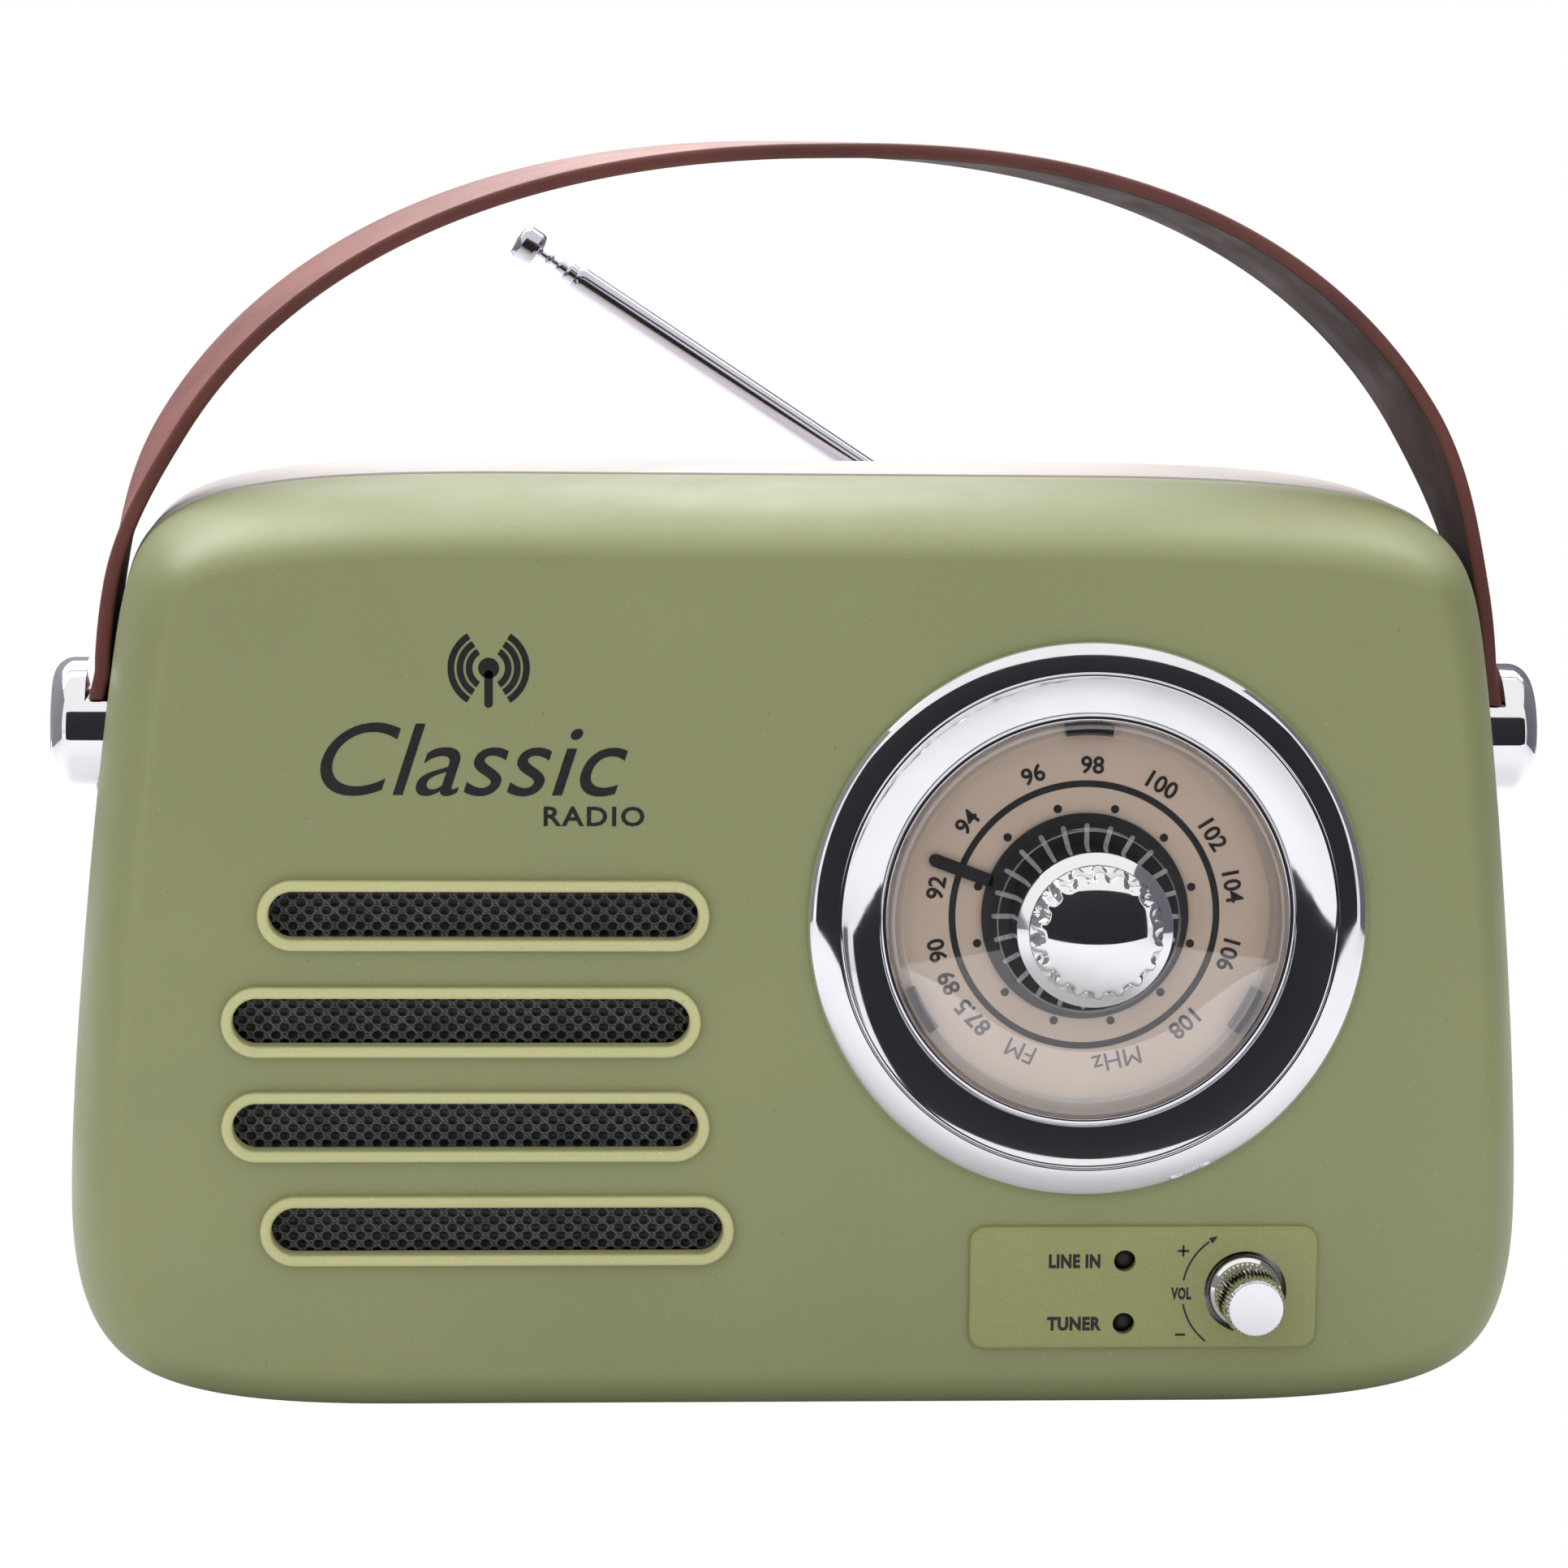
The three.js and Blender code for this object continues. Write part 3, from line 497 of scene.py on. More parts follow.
def leather(name, color, dark, roughness, grain):
    """Coated leather: pebbled grain, soft clouding and worn spots."""
    f = Finish(name, color, roughness, specular_ior_level=0.55)
    f.tint(f.ramp(f.noise(45, 4), 0.35, 0.72), dark)
    f.tint(f.ramp(f.cells(grain), 0.55, 0.15, 0, 0.35), scaled(color, 1.25))
    f.rough(f.noise(130, 4), 0.3, 0.75, roughness * 0.85, roughness * 1.2)
    f.bump(f.cells(grain, "SMOOTH_F1"), 3.0e-5, 0.55)
    f.bump(f.noise(grain * 3, 3), 1.2e-5, 0.5)
    return f.material


GREEN = moulded("sage_green_plastic", srgb(139, 143, 93), 0.5, specular_ior_level=0.9)
LIGHT_GREEN = moulded("light_green_plastic", srgb(196, 194, 141), 0.42, depth=3e-6)
PANEL_GREEN = moulded("panel_green_plastic", srgb(152, 153, 100), 0.45, depth=3e-6)
CREAM = moulded("cream_plastic", srgb(196, 186, 182), 0.42, depth=4e-6)
BLACK = moulded("black_plastic", (0.016, 0.016, 0.018), 0.42)
CHROME = plated("chrome_plating")
TUBE_CHROME = plated("aerial_chrome", (0.6, 0.59, 0.66), 0.12)
STEEL = brushed("zinc_steel", (0.55, 0.55, 0.56))
RUBBER = moulded("black_rubber", (0.018, 0.018, 0.018), 0.85, grain=3000, depth=1.2e-5)
STRAP = leather("strap_leather", srgb(150, 90, 81), srgb(122, 70, 62), 0.45, 1500)
STRAP_EDGE = leather("strap_edge", srgb(104, 52, 44), srgb(84, 40, 34), 0.5, 2600)
# The strap's inner face gets a darker, duller leather: painted shade, as that face is turned down and away
# from the light.
STRAP_BACK_SHADE = leather("strap_back_painted_shade", srgb(64, 44, 43), srgb(50, 36, 36), 0.8, 1900)


def ivory():
    color = srgb(224, 202, 182)
    f = Finish("ivory_dial", color, 0.5)
    f.tint(f.ramp(f.noise(70, 3), 0.35, 0.7), scaled(color, 0.93))
    f.tint(f.ramp(f.cells(900), 0.06, 0.03, 0, 0.4), scaled(color, 0.6))
    f.bump(f.noise(4000, 2), 3e-6)
    return f.material


def ink(name, color):
    f = Finish(name, color, 0.45)
    f.tint(f.ramp(f.noise(1500, 3), 0.4, 0.75, 0, 0.6), scaled(color, 1.7))
    f.rough(f.noise(1800, 2), 0.3, 0.7, 0.35, 0.55)
    f.bump(f.noise(5000, 2), 3e-6)
    return f.material


def clear():
    """Clear acrylic: a faint constant mirror over whatever is behind."""
    f = Finish("clear_acrylic", (0.95, 0.94, 0.97), 0.02, 1.0)
    f.set("Alpha", 0.12)
    f.rough(f.noise(120, 4), 0.4, 0.85, 0.01, 0.06)
    return f.material


def lens_rim_glint():
    """The lens's moulded rim, seen edge on, painted light grey and half opaque: a painted highlight for the
    light its clear edge catches.
    """
    f = Finish("clear_acrylic_rim_painted_glint", (0.62, 0.6, 0.6), 0.15)
    f.set("Alpha", 0.3)
    f.rough(f.noise(400, 3), 0.4, 0.8, 0.1, 0.3)
    return f.material


def knit():
    """Black knitted mesh: fine yarn twist, with a painted highlight on its lighter crowns."""
    color = (0.06, 0.06, 0.066)
    f = Finish("grille_knit", color, 0.6)
    wave = f.nodes.new("ShaderNodeTexWave")
    wave.bands_direction = "DIAGONAL"
    wave.inputs["Scale"].default_value = 900
    wave.inputs["Distortion"].default_value = 3
    wave.inputs["Detail"].default_value = 2
    f.links.new(f.place, wave.inputs["Vector"])
    # Lighter bands along the yarn twist: painted highlight where the yarn's crowns catch the light.
    f.tint(f.ramp(wave.outputs["Fac"], 0.3, 0.9, 0, 0.8), (0.15, 0.15, 0.165))
    f.tint(f.ramp(f.noise(350, 3), 0.4, 0.7, 0, 0.7), (0.034, 0.034, 0.038))
    f.bump(wave.outputs["Fac"], 6e-5, 0.8)
    return f.material


def glossy(name, color, roughness=0.25):
    f = Finish(name, color, roughness)
    f.tint(f.ramp(f.noise(300, 3), 0.4, 0.7), scaled(color, 0.75))
    f.rough(f.noise(200, 3), 0.3, 0.7, roughness, roughness * 1.6)
    f.bump(f.noise(1500, 2), 4e-6)
    return f.material


def paper():
    f = Finish("cone_pulp", (0.024, 0.023, 0.021), 0.85)
    f.tint(f.ramp(f.noise(1400, 4), 0.4, 0.75), (0.06, 0.056, 0.05))
    f.bump(f.noise(1700, 4), 4e-5)
    return f.material


def solder_mask():
    f = Finish("solder_mask", (0.012, 0.07, 0.028), 0.35)
    f.tint(f.ramp(f.cells(420, "DISTANCE_TO_EDGE"), 0.1, 0.06), (0.03, 0.16, 0.06))
    f.tint(f.ramp(f.cells(300), 0.16, 0.12), (0.5, 0.48, 0.42))
    f.bump(f.cells(420, "DISTANCE_TO_EDGE"), 2e-5)
    return f.material


IVORY = ivory()
INK = ink("black_ink", (0.012, 0.012, 0.013))
PALE_INK = ink("pale_ink", (0.3, 0.3, 0.31))
CLEAR = clear()
LENS_RIM_GLINT = lens_rim_glint()
KNIT = knit()
# The closed bottoms of the knit's eyelets are near black: painted shade for the dark inside seen through the
# holes.
EYELET_SHADE = ink("knit_eyelet_painted_shade", (0.002, 0.002, 0.002))
LAMP = glossy("lamp_lens", (0.035, 0.032, 0.03), 0.5)
BATTERY = glossy("battery_wrap", (0.02, 0.12, 0.33))
PULP = paper()
BOARD = solder_mask()


# ---------------------------------------------------------------- camera, floor and light
def set_camera():
    eye = Vector((-46.4, -718.5, 195.4)) * MM
    aim = Vector((-4.1, -35, 97.8)) * MM
    roll = math.radians(0.68)
    forward = (aim - eye).normalized()
    side = forward.cross(Vector((0, 0, 1))).normalized()
    up = side.cross(forward)
    right = side * math.cos(roll) + up * math.sin(roll)
    top = up * math.cos(roll) - side * math.sin(roll)
    camera = bpy.data.cameras.new("camera")
    camera.sensor_width = 36
    camera.lens = 110.29
    camera.clip_start = 0.01
    holder = bpy.data.objects.new("camera", camera)
    holder.matrix_world = Matrix((
        (right.x, top.x, -forward.x, eye.x), (right.y, top.y, -forward.y, eye.y),
        (right.z, top.z, -forward.z, eye.z), (0, 0, 0, 1)))
    bpy.context.scene.collection.objects.link(holder)
    bpy.context.scene.camera = holder


def card(name, size, at, turn, color, mirror_only=False):
    """A matt sheet round the object, in metres, that the camera itself doesn't see."""
    verts = np.array([(-1, -1, 0), (1, -1, 0), (1, 1, 0), (-1, 1, 0)], float) * (*size, 1) / 2
    mesh = bpy.data.meshes.new(name)
    mesh.from_pydata(verts.tolist(), [], [(0, 1, 2, 3)])
    f = Finish(name, color, 0.9)
    f.tint(f.ramp(f.noise(3, 2), 0.4, 0.6, 0, 0.1), scaled(color, 0.97))
    mesh.materials.append(f.material)
    obj = bpy.data.objects.new(name, mesh)
    obj.location = at
    obj.rotation_euler = turn
    bpy.context.scene.collection.objects.link(obj)
    obj.visible_camera = False
    if mirror_only:
        obj.visible_shadow = False
        obj.visible_diffuse = False


def softbox(name, power, size, at, aim_at, mirrored=True):
    light = bpy.data.lights.new(name, "AREA")
    light.shape = "RECTANGLE"
    light.size, light.size_y = size
    light.energy = power
    obj = bpy.data.objects.new(name, light)
    obj.location = at
    obj.rotation_euler = (Vector(aim_at) - Vector(at)).to_track_quat("-Z", "Y").to_euler()
    obj.visible_glossy = mirrored
    bpy.context.scene.collection.objects.link(obj)


def studio():
    set_camera()
    world = bpy.data.worlds.new("studio")
    world.use_nodes = True
    sky = world.node_tree.nodes["Background"]
    sky.inputs["Color"].default_value = (1.0, 1.0, 1.0, 1)
    sky.inputs["Strength"].default_value = 1.0
    bpy.context.scene.world = world
    bpy.context.scene.view_settings.view_transform = "Standard"

    upright = math.pi / 2
    card("floor", (9, 9), (0, 0, -0.00005), (0, 0, 0), (0.77, 0.77, 0.8))
    card("dark_opening", (0.6, 0.24), (0.045, -0.27, 0.14), (upright, 0, 0), (0.002, 0.003, 0.005),
         mirror_only=True)
    card("tent_left", (0.62, 0.5), (-0.44, 0.03, 0.25), (upright, 0, upright), (0.2, 0.2, 0.22))
    card("tent_right", (0.62, 0.5), (0.44, 0.03, 0.25), (upright, 0, upright), (0.1, 0.1, 0.12))
    for side, sign, color in (("left", -1, (0.25, 0.25, 0.28)), ("right", 1, (0.12, 0.12, 0.14))):
        at, turn = (sign * 0.33, 0.55, 0.3), (upright, 0, -sign * 0.54)
        card(f"tent_wing_{side}", (0.5, 0.8), at, turn, color, mirror_only=True)
    card("tent_seam", (1.4, 0.035), (0, 0.19, 0.56), (0, 0, 0), (0.02, 0.02, 0.03), mirror_only=True)

    softbox("top_box", 13.0, (1.7, 0.7), (-0.14, 0.42, 0.7), (0, 0, 0.14))
    softbox("front_fill", 0.6, (0.5, 0.4), (-0.35, -0.8, 0.45), (0, 0, 0.08), mirrored=False)


studio()


# ---------------------------------------------------------------- cabinet outline
def bezier(points, steps):
    """A cubic curve's points and its directions."""
    p = [np.array(q, float) for q in points]
    t = np.linspace(0, 1, steps + 1)[:, None]
    place = (1 - t) ** 3 * p[0] + 3 * (1 - t) ** 2 * t * p[1] + 3 * (1 - t) * t ** 2 * p[2] + t ** 3 * p[3]
    along = (1 - t) ** 2 * (p[1] - p[0]) + 2 * (1 - t) * t * (p[2] - p[1]) + t ** 2 * (p[3] - p[2])
    return place, along / np.linalg.norm(along, axis=1)[:, None]


def cabinet_outline():
    """Points round the cabinet and their outward normals, in the XZ plane."""
    shoulder = (100.6, 120.4)
    hip = (HALF_W, 31.4)
    stretches = [
        ([(0, CAB_H), (14, CAB_H), (28, CAB_H), (41.8, CAB_H)], 8),
        ([(41.8, CAB_H), (91.9, CAB_H), (97.6, 134.3), shoulder], 40),
        ([shoulder, (103.2, 108.9), (HALF_W, 53.7), hip], 26),
        ([hip, (HALF_W, 6), (98.8, 0), (59.5, 0)], 44),
        ([(59.5, 0), (40, 0), (20, 0), (0, 0)], 10),
    ]
    places, normals = [], []
    for points, steps in stretches:
        place, along = bezier(points, steps)
        places.append(place[:-1])
        normals.append(np.stack([-along[:-1, 1], along[:-1, 0]], axis=1))
    place, normal = np.concatenate(places), np.concatenate(normals)
    place = np.concatenate([place, [[0, 0]]])
    normal = np.concatenate([normal, [[0, -1]]])
    mirror = slice(len(place) - 2, 0, -1)
    flip = np.array([-1, 1])
    place = np.concatenate([place, place[mirror] * flip])
    normal = np.concatenate([normal, normal[mirror] * flip])
    normal[0] = (0, 1)
    return place + (0, BASE_Z), normal


OUTLINE, NORMALS = cabinet_outline()


def cabinet(inset):
    return OUTLINE - NORMALS * inset


def rounded_edge(width, depth, steps=22):
    angles = np.linspace(0, math.pi / 2, steps + 1)
    return [(width * (1 - math.cos(t)), depth * math.sin(t)) for t in angles]


def half_shell(sign, seam, lip, straight, width, depth, end):
    """A cup-shaped shell, as (inset, y) from the middle of its face over its edge and back inside."""
    support = 0.5
    outside = [(i - lip, sign * (straight + y)) for i, y in rounded_edge(width, depth)][::-1]
    face = [(width - lip + 2 * support, sign * end), (width - lip + support, sign * end)]
    # The inside is rounded less than the outside, so that its corners never fold over themselves.
    inner_width = min(width, INNER_INSET - WALL)
    inside = [(i + WALL, sign * (straight + y)) for i, y in rounded_edge(inner_width, depth - WALL, 10)]
    rim = [(-lip, sign * (seam + 0.3)), (-lip + 0.09, sign * (seam + 0.09)), (-lip + 0.3, sign * seam),
           (WALL, sign * seam)]
    back = [(inner_width + WALL + support, sign * (end - WALL))]
    return banded(cabinet, face + outside + rim + inside + back, loop=False, caps=True)


RIM_H = box("slot_rim_1")[1][2] - box("slot_rim_1")[0][2]
RIM_W = 1.6


def slot_hole(node, grow):
    """The opening inside a slot's rim, grown by some of the rim's width."""
    (x0, _, z0), (x1, _, z1) = box(node)
    edge = RIM_W - grow
    return stadium(x0 + edge, x1 - edge, z0 + edge, z1 - edge, RIM_H / 2 - edge - 0.005, 14)


def knob_seats():
    """Cutters for the round seats of the two end knobs."""
    return [placed(rod(END_KNOB_R + 0.6, -3, 9, 64), axes, (sign * KNOB_ROOT, 0, PIVOT_Z))
            for axes, sign in ((RIGHT, 1), (LEFT, -1))]


def build_front_shell():
    shell = half_shell(-1, SEAM, 0, FRONT_STRAIGHT, FRONT_INSET, -FRONT_Y - FRONT_STRAIGHT, -FRONT_Y)
    front = piece("front_shell_skin", shell, GREEN, replaces=["front_shell"])
    through = [(0, FRONT_Y - 2), (0, FRONT_Y + 4)]
    cutters = [banded(slot_hole(node, 1.0), through, loop=False, caps=True) for node in SLOT_NODES]
    holes = [(33, DIAL, 96), (6.2, VOLUME, 48)] + [(1.9, middle(node), 32) for node in LAMP_NODES]
    cutters += [placed(rod(radius, -4, 4, sides), FRONT, (spot[0], FRONT_Y, spot[2]))
                for radius, spot, sides in holes]
    carve(front, *cutters, *knob_seats())


def build_back_shell():
    shell = half_shell(1, SEAM, LIP, BACK_STRAIGHT, BACK_INSET, BACK_Y - BACK_STRAIGHT, BACK_Y)
    back = piece("back_shell_skin", shell, CREAM, replaces=["back_shell"])
    (x0, _, z0), (x1, _, z1) = box("rear_panel")
    gap, ledge = 0.3, 3
    well = stadium(x0 - gap, x1 + gap, z0 - gap, z1 + gap, 3)
    opening = stadium(x0 + ledge, x1 - ledge, z0 + ledge, z1 - ledge, 2)
    aerial = middle("aerial_base")
    screws = [middle(node) for node in CASE_SCREWS]
    hole_r, wall_r, shaft_r = 3.4, 5, 1.6
    carve(back,
          banded(well, [(0, BACK_Y - 1.3), (0, BACK_Y + 1)], loop=False, caps=True),
          banded(opening, [(0, BACK_Y - 5), (0, BACK_Y - 1.1)], loop=False, caps=True),
          placed(rod(4.4, -5, 2, 48), REAR, (aerial[0], BACK_Y, aerial[2])),
          *knob_seats(),
          *[placed(rod(hole_r, -5, 2, 40), REAR, (x, BACK_Y, z)) for x, _, z in screws])

    # Each screw stands in a tube whose floor its head presses on.
    head = box(CASE_SCREWS[0])[1][1]
    tube = [(hole_r, BACK_Y - WALL), (wall_r, BACK_Y - WALL), (wall_r, head - 3.4), (shaft_r, head - 3.4),
            (shaft_r, head - 2.2), (hole_r, head - 2.2)]
    wells = [lathe(tube, 40, REAR, (x, 0, z)) for x, _, z in screws]
    piece("case_screw_wells", joined(*wells), CREAM)


build_front_shell()
build_back_shell()


# ---------------------------------------------------------------- speaker slots and cloth
def build_slots():
    for node in SLOT_NODES:
        (x0, front, z0), (x1, _, z1) = box(node)
        radius = RIM_H / 2 - 0.005
        base = FRONT_Y - 0.05
        profile = rounded([
            (0, base, 0.05), (0, front + 0.1, 1.0), (RIM_W * 0.5, front, 1.2), (RIM_W, front + 0.25, 0.7),
            (RIM_W, FRONT_Y + 2, 0.1), (RIM_W - 0.7, FRONT_Y + 2, 0.1), (RIM_W - 0.7, base, 0.05)], steps=5)
        piece(f"{node}_moulding", banded(stadium(x0, x1, z0, z1, radius, 22), profile), LIGHT_GREEN,
              replaces=[node], sharp=40)


def build_cloth():
    """Knitted mesh: staggered eyelets with raised yarn round them."""
    (x0, y0, z0), (x1, _, z1) = box("grille_cloth")
    pitch, row = 2.43, 1.146
    columns = int((x1 - x0) / pitch) - 1
    rows = int((z1 - z0) / row) - 1
    left = (x0 + x1) / 2 - columns * pitch / 2
    bottom = (z0 + z1) / 2 - rows * row / 2
    crown, sunk = y0 + 0.12, y0 + 0.34
    sides = 12
    verts, faces, holes, index = [], [], [], {}

    def vertex(x, y, z):
        key = (round(x, 3), round(z, 3))
        if key not in index:
            index[key] = len(verts)
            verts.append((x, y, z))
        return index[key]

    # Each eyelet's cell is a hexagon: left, right, and one corner above and one below on either side.
    half_w, half_h = pitch / 2, row
    near = pitch / 4 * 0.55
    far = half_w - near
    cell = [(half_w, 0), (far, half_h * 0.5), (near, half_h * 0.5), (0, half_h),
            (-near, half_h * 0.5), (-far, half_h * 0.5), (-half_w, 0), (-far, -half_h * 0.5),
            (-near, -half_h * 0.5), (0, -half_h), (near, -half_h * 0.5), (far, -half_h * 0.5)]
    # Rings of the eyelet: its share of the cell, and its depth.
    eyelet = [(0.84, crown + 0.02), (0.68, crown), (0.56, crown + 0.14), (0.5, sunk)]
    for j in range(rows):
        for i in range(columns - (j % 2)):
            cx = left + (i + 0.5 + 0.5 * (j % 2)) * pitch
            cz = bottom + (j + 0.5) * row
            rings = [[vertex(cx + dx, sunk - 0.12 if k % 3 == 0 else crown + 0.1, cz + dz)
                      for k, (dx, dz) in enumerate(cell)]]
            for share, depth in eyelet:
                rings.append(list(range(len(verts), len(verts) + sides)))
                for k in range(sides):
                    angle = 2 * math.pi * k / sides
                    verts.append((cx + half_w * share * 1.02 * math.cos(angle), depth,
                                  cz + half_h * share * 0.98 * math.sin(angle)))
            for a, b in zip(rings, rings[1:]):
                faces += [(a[k], a[(k + 1) % sides], b[(k + 1) % sides], b[k]) for k in range(sides)]
            # Each eyelet is closed by a black face at its bottom: painted shade where the real knit is open
            # onto the dark inside.
            holes += range(len(faces) - sides, len(faces) + 1)
            faces.append(tuple(rings[-1]))
    cloth = piece("grille_mesh", (np.array(verts), faces), KNIT,
                  replaces=["grille_cloth"], sharp=180, weld=False)
    cloth.data.materials.append(EYELET_SHADE)
    for k in holes:
        cloth.data.polygons[k].material_index = 1


build_slots()
build_cloth()


# ---------------------------------------------------------------- dial
DIAL_AT = (DIAL[0], 0, DIAL[2])
PLATE_OUT, LENS_OUT = -PLATE_Y, -LENS_Y
BEZEL_BORE = 29.1
LENS_HOLE, WINDOW_R, LENS_R = 13.2, 27.2, 28.7
PLATE_R = 36.4


def build_bezel():
    face = -FRONT_Y
    root, seat = face + 0.05, 33.2
    # The outer band: its slope in degrees at a few radii, summed up from the outer wall to the crest.
    band = slope_profile([(BEZEL_R, 64), (40.5, 46), (40.0, 30), (39.4, 21), (38.2, 14.5), (36.6, 5)],
                         face + 0.85)
    crest = band[-1][1]
    groove = [(36.45, crest - 0.04), (36.37, crest - 0.3), (36.25, crest - 0.32), (36.15, crest - 0.1),
              (36.0, crest - 0.06)]
    cone = slope_profile([(35.85, -31), (34.2, -25), (32.6, -17), (31, -12.5), (30.5, -12)], crest - 0.12)
    bead = cone[-1][1]
    inside = [(30.4, bead - 0.2, 0.05), (30.28, bead - 0.16, 0.05), (30.0, bead + 0.22, 0.25),
              (29.4, bead + 0.2, 0.25), (BEZEL_BORE, bead - 0.35, 0.1), (BEZEL_BORE, seat, 0.05),
              (32.6, seat, 0.05), (32.6, root, 0.05)]
    profile = rounded([(BEZEL_R, root, 0.05)] + band + groove + cone + inside, steps=4)
    piece("dial_bezel_ring", lathe(profile, 192, FRONT, DIAL_AT), CHROME, replaces=["dial_bezel"], sharp=24)


def build_lens():
    foot = PLATE_OUT + 0.3
    profile = rounded([
        (LENS_HOLE, LENS_OUT, 0.25), (LENS_HOLE, LENS_OUT - 1.2, 0.1), (WINDOW_R, LENS_OUT - 1.2, 0.2),
        (WINDOW_R, foot, 0.05), (LENS_R, foot, 0.05), (LENS_R, LENS_OUT, 0.5)], steps=5)
    lens = piece("dial_lens_clear", lathe(profile, 160, FRONT, DIAL_AT), CLEAR,
                 replaces=["dial_lens"], sharp=35)
    lens.visible_shadow = False
    lens.data.materials.append(LENS_RIM_GLINT)
    # Faces at the rim and round the centre hole get the light grey rim material: painted highlight on clear
    # acrylic.
    for face in lens.data.polygons:
        x, _, z = face.center / MM - Vector(DIAL_AT)
        if not LENS_HOLE + 0.12 <= math.hypot(x, z) <= WINDOW_R - 0.05:
            face.material_index = 1


# Where each word of the scale stands, in degrees clockwise from the top.
SCALE = {"98": 2, "100": 30, "102": 57.6, "104": 79.1, "106": 105.5, "108": 137, "MHz": 166.4,
         "FM": 204, "87.5": 226.6, "89": 242.8, "90": 256.2, "92": 280.4, "94": 308.2, "96": 339.1}


def build_dial_face():
    profile = rounded([(4, PLATE_OUT, 0.1), (PLATE_R, PLATE_OUT, 0.1), (PLATE_R, PLATE_OUT - 1.4, 0.1),
                       (4, PLATE_OUT - 1.4, 0.1)])
    piece("dial_face", lathe(profile, 128, FRONT, DIAL_AT), IVORY, replaces=["dial_plate"])

    out = PLATE_OUT + 0.01
    ring_r, dot_r, text_r = 19.4, 16.2, 22.145
    prints = [flat_arc(ring_r, 0.98, 0, 360, out, steps=160)]
    prints += [dot(0.62, polar(dot_r, math.radians(15 + 30 * k), out)) for k in range(12)]
    for text, clock in SCALE.items():
        angle = math.radians(clock)
        spot = (text_r * math.sin(angle), text_r * math.cos(angle), out + PRINT_T / 2)
        prints.append(lettering(text, 2.65, spot, -angle, weight=0.0 if "M" in text else 0.022))
    piece("dial_print", placed(joined(*prints), FRONT, DIAL_AT), INK, weld=False)


def build_clips():
    """Three clips that hold the lens, seen through its rim; their black also stands for the painted shadow
    they cast there.
    """
    clips = [flat_arc(27.6, 1.6, 82.8 - 120 * k, 97.2 - 120 * k, PLATE_OUT + 0.4, thick=2.2, steps=10)
             for k in range(3)]
    piece("lens_clips_and_painted_shadow", placed(joined(*clips), FRONT, DIAL_AT), BLACK)


def build_pointer():
    """Black disc with its pointer and a ring of pale marks; it turns with the knob."""
    (_, front, _), (_, back, _) = box("pointer_disc")
    low, high = -back, -front
    clock = math.radians(69.7)
    disc = rounded([(3.5, low, 0), (15.2, low, 0.1), (15.2, high, 0.15), (3.5, high, 0)])
    arm = spun(stadium(-0.95, 0.95, 14.4, 24.4, 0.93, 8)(0), clock)
    piece("pointer", placed(joined(turned(disc, 128), slab(arm, low, high)), FRONT, DIAL_AT), BLACK, "tuning",
          replaces=["pointer_disc"])
    turns = [2 * math.pi * k / 24 for k in range(24)]
    marks = [bar(0.72, 3.3, polar(12.1, angle, high + 0.005), angle) for angle in turns]
    piece("pointer_marks", placed(joined(*marks), FRONT, DIAL_AT), PALE_INK, "tuning", weld=False)


def build_tuning_knob():
    front, back = -KNOB_FRONT_Y, -box("tuning_knob")[1][1]
    dome, crown_r, flute_r, flute_foot = 17.0, 8.75, 7.9, 44.85
    radii = [crown_r * k / 35 for k in range(36)]
    cap = [(r, front - (dome - math.sqrt(dome * dome - r * r))) for r in radii]
    edge = cap[-1][1]
    shoulder = rounded([cap[-1], (9.25, edge - 0.5, 0.4), (9.6, 44.9, 0.2), (9.68, 44.55, 0.05),
                        (11.3, 43.5, 0.25), (11.05, back, 0.3), (3.4, back, 0.1), (3.4, 45, 0.1)],
                       closed=False, steps=5)
    fluted = subdivided(shoulder, lambda a, b: 14 if 44.8 < b[1] < edge and abs(a[1] - b[1]) > 1 else 1)

    def flutes(r, h, angle):
        if r < flute_r or h < flute_foot:
            return r
        fade = min(1, (h - flute_foot) / 0.5, (r - flute_r) / 0.7)
        wave = 0.5 + 0.5 * math.cos(18 * angle)
        return r - 0.85 * fade * wave ** 1.4
    knob = turned(cap[:-1] + fluted + [(0, 45)], 360, closed=False, ripple=flutes)
    piece("tuning_knob_chrome", placed(knob, FRONT, DIAL_AT), CHROME,
          "tuning", replaces=["tuning_knob"], sharp=30)


build_bezel()
build_lens()
build_dial_face()
build_clips()
build_pointer()
build_tuning_knob()


# ---------------------------------------------------------------- control panel
def build_panel():
    outline = stadium(PANEL_LOW[0], PANEL_HIGH[0], PANEL_LOW[2], PANEL_HIGH[2], 2.4, 12)
    top, under = PANEL_LOW[1], FRONT_Y - 0.02
    profile = [(8, top), (1.6, top), (0.62, top), (0.4, top + 0.03), (0.2, top + 0.11), (0.06, top + 0.26),
               (0, top + 0.45), (0, under), (8, under)]
    plate = piece("control_plate", banded(outline, profile, loop=False, caps=True), PANEL_GREEN,
                  replaces=["control_panel"])
    lamps = [middle(node) for node in LAMP_NODES]
    holes = [(6.1, VOLUME, 96)] + [(1.6, lamp, 48) for lamp in lamps]
    carve(plate, *[placed(rod(radius, -3, 3, sides), FRONT, (spot[0], FRONT_Y, spot[2]))
                   for radius, spot, sides in holes])
    build_panel_print(-top, lamps)

    for node, (x, _, z) in zip(LAMP_NODES, lamps):
        front = -box(node)[0][1]
        profile = rounded([(0, front), (0.9, front - 0.15, 0.6), (1.5, front - 1.0, 0.4), (1.5, 28, 0.1),
                           (0, 28)], closed=False)
        piece(f"{node}_lens", lathe(profile, 48, FRONT, (x, 0, z), closed=False), LAMP, replaces=[node])


